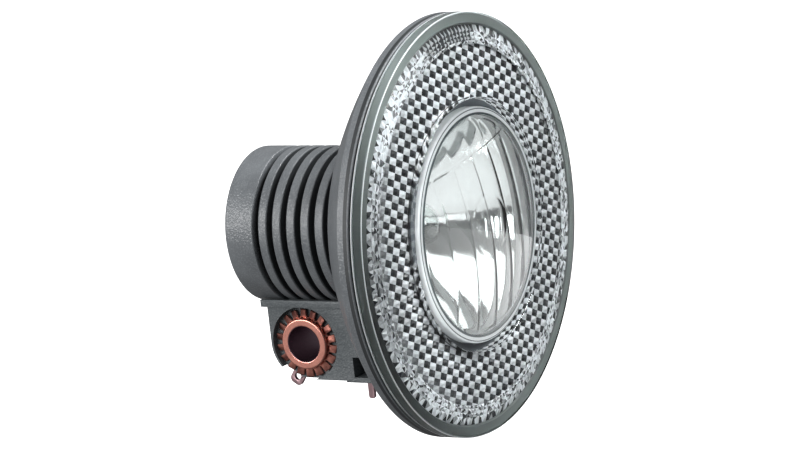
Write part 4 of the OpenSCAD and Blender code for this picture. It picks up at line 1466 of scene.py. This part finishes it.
@dataclass
class Foot:
    """Mounting foot with its copper bush, toothed washers and blade terminals."""

    block_round: float = 0.3
    blade_round: float = 0.15
    bore_r: float = 3.5
    bore_round: float = 0.25
    bush_r: float = 4.2
    flange_r: float = 5.0
    flange_t: float = 0.8
    half: float = 8.4
    bush_steps: int = 128
    seat: float = 6.7
    washer_t: float = 0.9
    washer_gap: float = 0.1
    washer_body: float = 5.25
    washer_tip: float = 6.75
    teeth: int = 18
    tooth_points: int = 24
    # Half a tooth and its flank, as shares of the pitch
    tooth_half: float = 0.36
    tooth_flank: float = 0.07
    # A tooth's twist in degrees, from twist_in inside the body's edge, and its thinning, over tooth_run
    twist: float = 20.0
    twist_in: float = 0.4
    thinning: float = 0.4
    tooth_run: float = 0.8

    def bush(self) -> Thing:
        """Turns the bush on the bolt's line: a tube with a rounded flange at each end.

        Returns:
            The bush.
        """
        inner = self.half - self.flange_t
        section = rounded([(self.bore_r, -self.half, self.bore_round), (self.flange_r, -self.half, EASED),
                           (self.flange_r, -inner, SOFT), (self.bush_r, -inner, CRISP),
                           (self.bush_r, inner, CRISP), (self.flange_r, inner, SOFT),
                           (self.flange_r, self.half, EASED), (self.bore_r, self.half, self.bore_round)])
        return turned(section, self.bush_steps, place=on_bolt).piece("bush_turned")

    def washer(self, name: str, side: Side) -> Thing:
        """Builds a toothed washer.

        The outer edge runs out to the tip on each tooth and back to the body in each gap. A tooth is
        tilted about its own radius: its height is its place across the tooth times the tangent of the twist.
        The section is a loop with its outer corners cut, given as shares of the radius and of half the
        thickness.

        Args:
            name: the piece's name.
            side: the side of the foot.

        Returns:
            The washer.
        """
        steps = self.teeth * self.tooth_points
        a = np.arange(steps)[:, None] * TURN / steps
        across = np.mod(a * self.teeth / TURN, 1) - 0.5
        tooth = ease((self.tooth_half - np.abs(across)) / self.tooth_flank)
        edge = self.washer_body + (self.washer_tip - self.washer_body) * tooth
        loop = np.array([0, 0.5, 0.9, 1, 1, 0.9, 0.5, 0])
        face = np.array([1, 1, 1, 0.75, -0.75, -1, -1, -1])
        inner = self.bush_r + self.washer_gap
        r = inner + (edge - inner) * loop
        width = TURN * self.washer_tip / self.teeth
        twisted = ease((r - self.washer_body + self.twist_in) / self.tooth_run)
        tilt = across * width * math.tan(math.radians(self.twist)) * twisted
        thin = 1 - self.thinning * ease((r - self.washer_body) / self.tooth_run)
        lift = np.clip(face * thin * self.washer_t / 2 + tilt, -self.washer_t / 2, self.washer_t / 2)
        x = side.value * (self.seat + self.washer_t / 2 + lift)
        return Sheet.grid(on_bolt(r, a, x), True, True).piece(name)

    def build(self) -> None:
        """Builds the foot's pieces and dresses those that stay."""
        block = softened("mounting_foot", "foot_block", self.block_round)
        settle(block, Body.LAMP, Slot.FOOT, FOOT_NYLON, "mounting_foot")
        settle(self.bush(), Body.LAMP, Slot.BUSH, COPPER_TURNED, "bracket_bush")
        for node, side in (("ground_washer", Side.NEAR), ("clamp_washer", Side.FAR)):
            washer = self.washer(node + "_toothed", side)
            settle(washer, Body.LAMP, Slot.WASHER, COPPER_STAMPED, node)
        for node, name in (("ground_strip", "ground_blade"), ("live_terminal", "live_blade")):
            blade = softened(node, name, self.blade_round)
            settle(blade, Body.LAMP, Slot.BLADE, COPPER_TINNED, node)
        dress(STEEL_PLATED, "foot_screws", "detent_ball", "detent_spring")
        dress(COPPER_LEAF, "ground_leaf", "centre_contact")
        dress(BLACK_NYLON, "contact_carrier")


FLOOR = "studio_floor"
FLOOR_Z = -0.1
# Cards lie just over the floor
CARD_Z = FLOOR_Z + 0.004
# A light that points straight up or down aims this many metres aside, which settles its turn
TIP = 0.001
OPTICS = ("lens_dome", "reflector_bowl", "bulb_envelope")
TEETH = "ground_washer_toothed"
COPPER = ("bush_turned", TEETH, "clamp_washer_toothed", "live_blade")


@dataclass(frozen=True)
class Softbox:
    """An area light, kept off the flagged pieces or, where some are named, for those alone."""

    name: str
    spot: Point
    aim: Aim
    size: tuple[float, float]
    power: float
    flagged: tuple[str, ...] = ()
    only: tuple[str, ...] = ()

    def target(self) -> Vector:
        """Gives the point that the light faces.

        Returns:
            The point in metres.
        """
        x, y, _ = self.spot
        points = {
            Aim.FACE: (0, FACE_Y * MM, AXIS_Z * MM),
            Aim.MIDDLE: (0, 0, AXIS_Z * MM),
            Aim.UP: (x, y - TIP, 1.0),
            Aim.DOWN: (x, y - TIP, FLOOR_Z),
        }
        return Vector(points[self.aim])

    def reaches(self, thing: Thing) -> bool:
        """Says whether the light falls on a piece."""
        return thing.name in self.only if self.only else thing.name not in self.flagged

    def build(self) -> None:
        """Hangs the light and links it to the pieces that it reaches."""
        data = bpy.data.lights.new(self.name, "AREA")
        data.shape = "RECTANGLE"
        data.size, data.size_y = self.size
        data.energy = self.power
        lamp = put(self.name, data)
        lamp.location = self.spot
        lamp.rotation_euler = (self.target() - Vector(self.spot)).to_track_quat("-Z", "Y").to_euler()
        lit = bpy.data.collections.new(self.name + "_lit")
        for thing in bpy.data.objects:
            if thing.type == "MESH" and self.reaches(thing):
                lit.objects.link(thing)
        lamp.light_linking.receiver_collection = lit


SOFTBOXES = (
    # A wide light high in front, a long one behind at the left, and a small one high at the right
    Softbox("softbox_front", (-0.5, -1.3, 1.45), Aim.FACE, (2.8, 1.55), 29.0, flagged=(FLOOR, *OPTICS)),
    Softbox("softbox_left", (-1.05, 0.65, 0.36), Aim.MIDDLE, (1.2, 0.4), 20.5,
            flagged=(FLOOR, "ring_cover", TEETH)),
    Softbox("softbox_top", (0.55, -1.1, 1.1), Aim.FACE, (0.8, 0.8), 60.0,
            flagged=(FLOOR, "lens_dome", "reflector_bowl")),
    # The floor has a light of its own, so that it is even from every side
    Softbox("softbox_floor", (0, 0, 1.8), Aim.DOWN, (5.0, 5.0), 300.0, only=(FLOOR,)),
    # White cards that the lens and the bowl mirror: below, above, far ahead, and one for the lens's wall
    Softbox("card_lens", (-0.15, -0.48, CARD_Z), Aim.UP, (1.2, 1.0), 3.8, only=OPTICS),
    Softbox("card_high", (-0.23, -0.9, 1.35), Aim.FACE, (2.4, 1.0), 13.5, only=OPTICS),
    Softbox("card_far", (-0.53, -1.26, -0.01), Aim.FACE, (0.8, 0.17), 0.6, only=OPTICS),
    Softbox("card_wall", (-1.2, -0.73, 0.33), Aim.FACE, (0.5, 0.5), 16.0, only=("lens_dome",)),
    # Cards that the copper mirrors
    Softbox("card_copper", (-0.5, 0.3, CARD_Z), Aim.UP, (0.8, 0.6), 0.36, only=COPPER),
    Softbox("card_teeth", (-1.05, 0.65, 0.36), Aim.MIDDLE, (0.5, 0.2), 1.8, only=(TEETH,)),
)


@dataclass
class Studio:
    """Pale floor, soft light and the photograph's viewpoint."""

    turn: float = 58.73
    tilt: float = 13.3
    roll: float = 0.565
    offset: Point = (13.908, -0.0557, 600.0)
    focal: float = 3200.0
    image_w: float = 800.0
    sensor: float = 36.0
    near: float = 0.01
    floor_half: float = 4.0
    sky: str = "#ffffff"
    sky_strength: float = 0.18

    def camera(self) -> None:
        """Sets the camera so that the lamp's axis is turned and tilted in the image.

        The flange's centre lies at offset. Rows of view are the image's right, down and away in the frame.
        """
        turn, tilt, roll = (math.radians(v) for v in (self.turn, self.tilt, self.roll))
        spin = Matrix.Rotation(roll, 3, "Z")
        ahead = spin @ Vector((math.sin(turn), 0, -math.cos(turn)))
        left = spin @ Vector((-math.cos(turn), 0, -math.sin(turn)))
        up = spin @ Vector((0, -1, 0))
        x_axis = math.sin(tilt) * up - math.cos(tilt) * left
        z_axis = math.cos(tilt) * up + math.sin(tilt) * left
        view = Matrix((x_axis, -ahead, z_axis)).transposed()
        place = Vector((0, FACE_Y, AXIS_Z)) - view.transposed() @ Vector(self.offset)
        data = bpy.data.cameras.new("photo_view")
        data.sensor_width = self.sensor
        data.lens = self.focal * self.sensor / self.image_w
        data.clip_start = self.near
        pose = Matrix((view[0], -view[1], -view[2])).transposed().to_4x4()
        pose.translation = place * MM
        seen = put("photo_view", data)
        seen.matrix_world = pose
        bpy.context.scene.camera = seen

    def floor(self) -> None:
        """Lays the floor, which only the camera sees: its bounce would wash out the lamp's underside."""
        s = self.floor_half
        mesh = bpy.data.meshes.new(FLOOR)
        corners = [(-s, -s, FLOOR_Z), (s, -s, FLOOR_Z), (s, s, FLOOR_Z), (-s, s, FLOOR_Z)]
        mesh.from_pydata(corners, [], [(0, 1, 2, 3)])
        mesh.materials.append(STUDIO_PAPER.material())
        floor = put(FLOOR, mesh)
        floor.visible_diffuse = False
        floor.visible_glossy = False
        floor.visible_transmission = False

    def build(self) -> None:
        """Sets the floor, the sky, the softboxes and the camera."""
        self.floor()
        world = bpy.data.worlds.new("studio_sky")
        world.use_nodes = True
        sky = world.node_tree.nodes["Background"]
        sky.inputs["Color"].default_value = linear(self.sky)
        sky.inputs["Strength"].default_value = self.sky_strength
        bpy.context.scene.world = world
        for softbox in SOFTBOXES:
            softbox.build()
        self.camera()
        bpy.context.scene.view_settings.view_transform = "Standard"


def main() -> None:
    """Builds the headlight's sub-assemblies and the studio in order."""
    logging.basicConfig(level=logging.INFO, format="%(name)s: %(message)s")
    parts = (Housing(), Switch(), Ring(), PrismField(), BevelCrystals(), Lens(), Lamp(), Foot(), Studio())
    for part in parts:
        part.build()


if __name__ == "__main__":
    main()
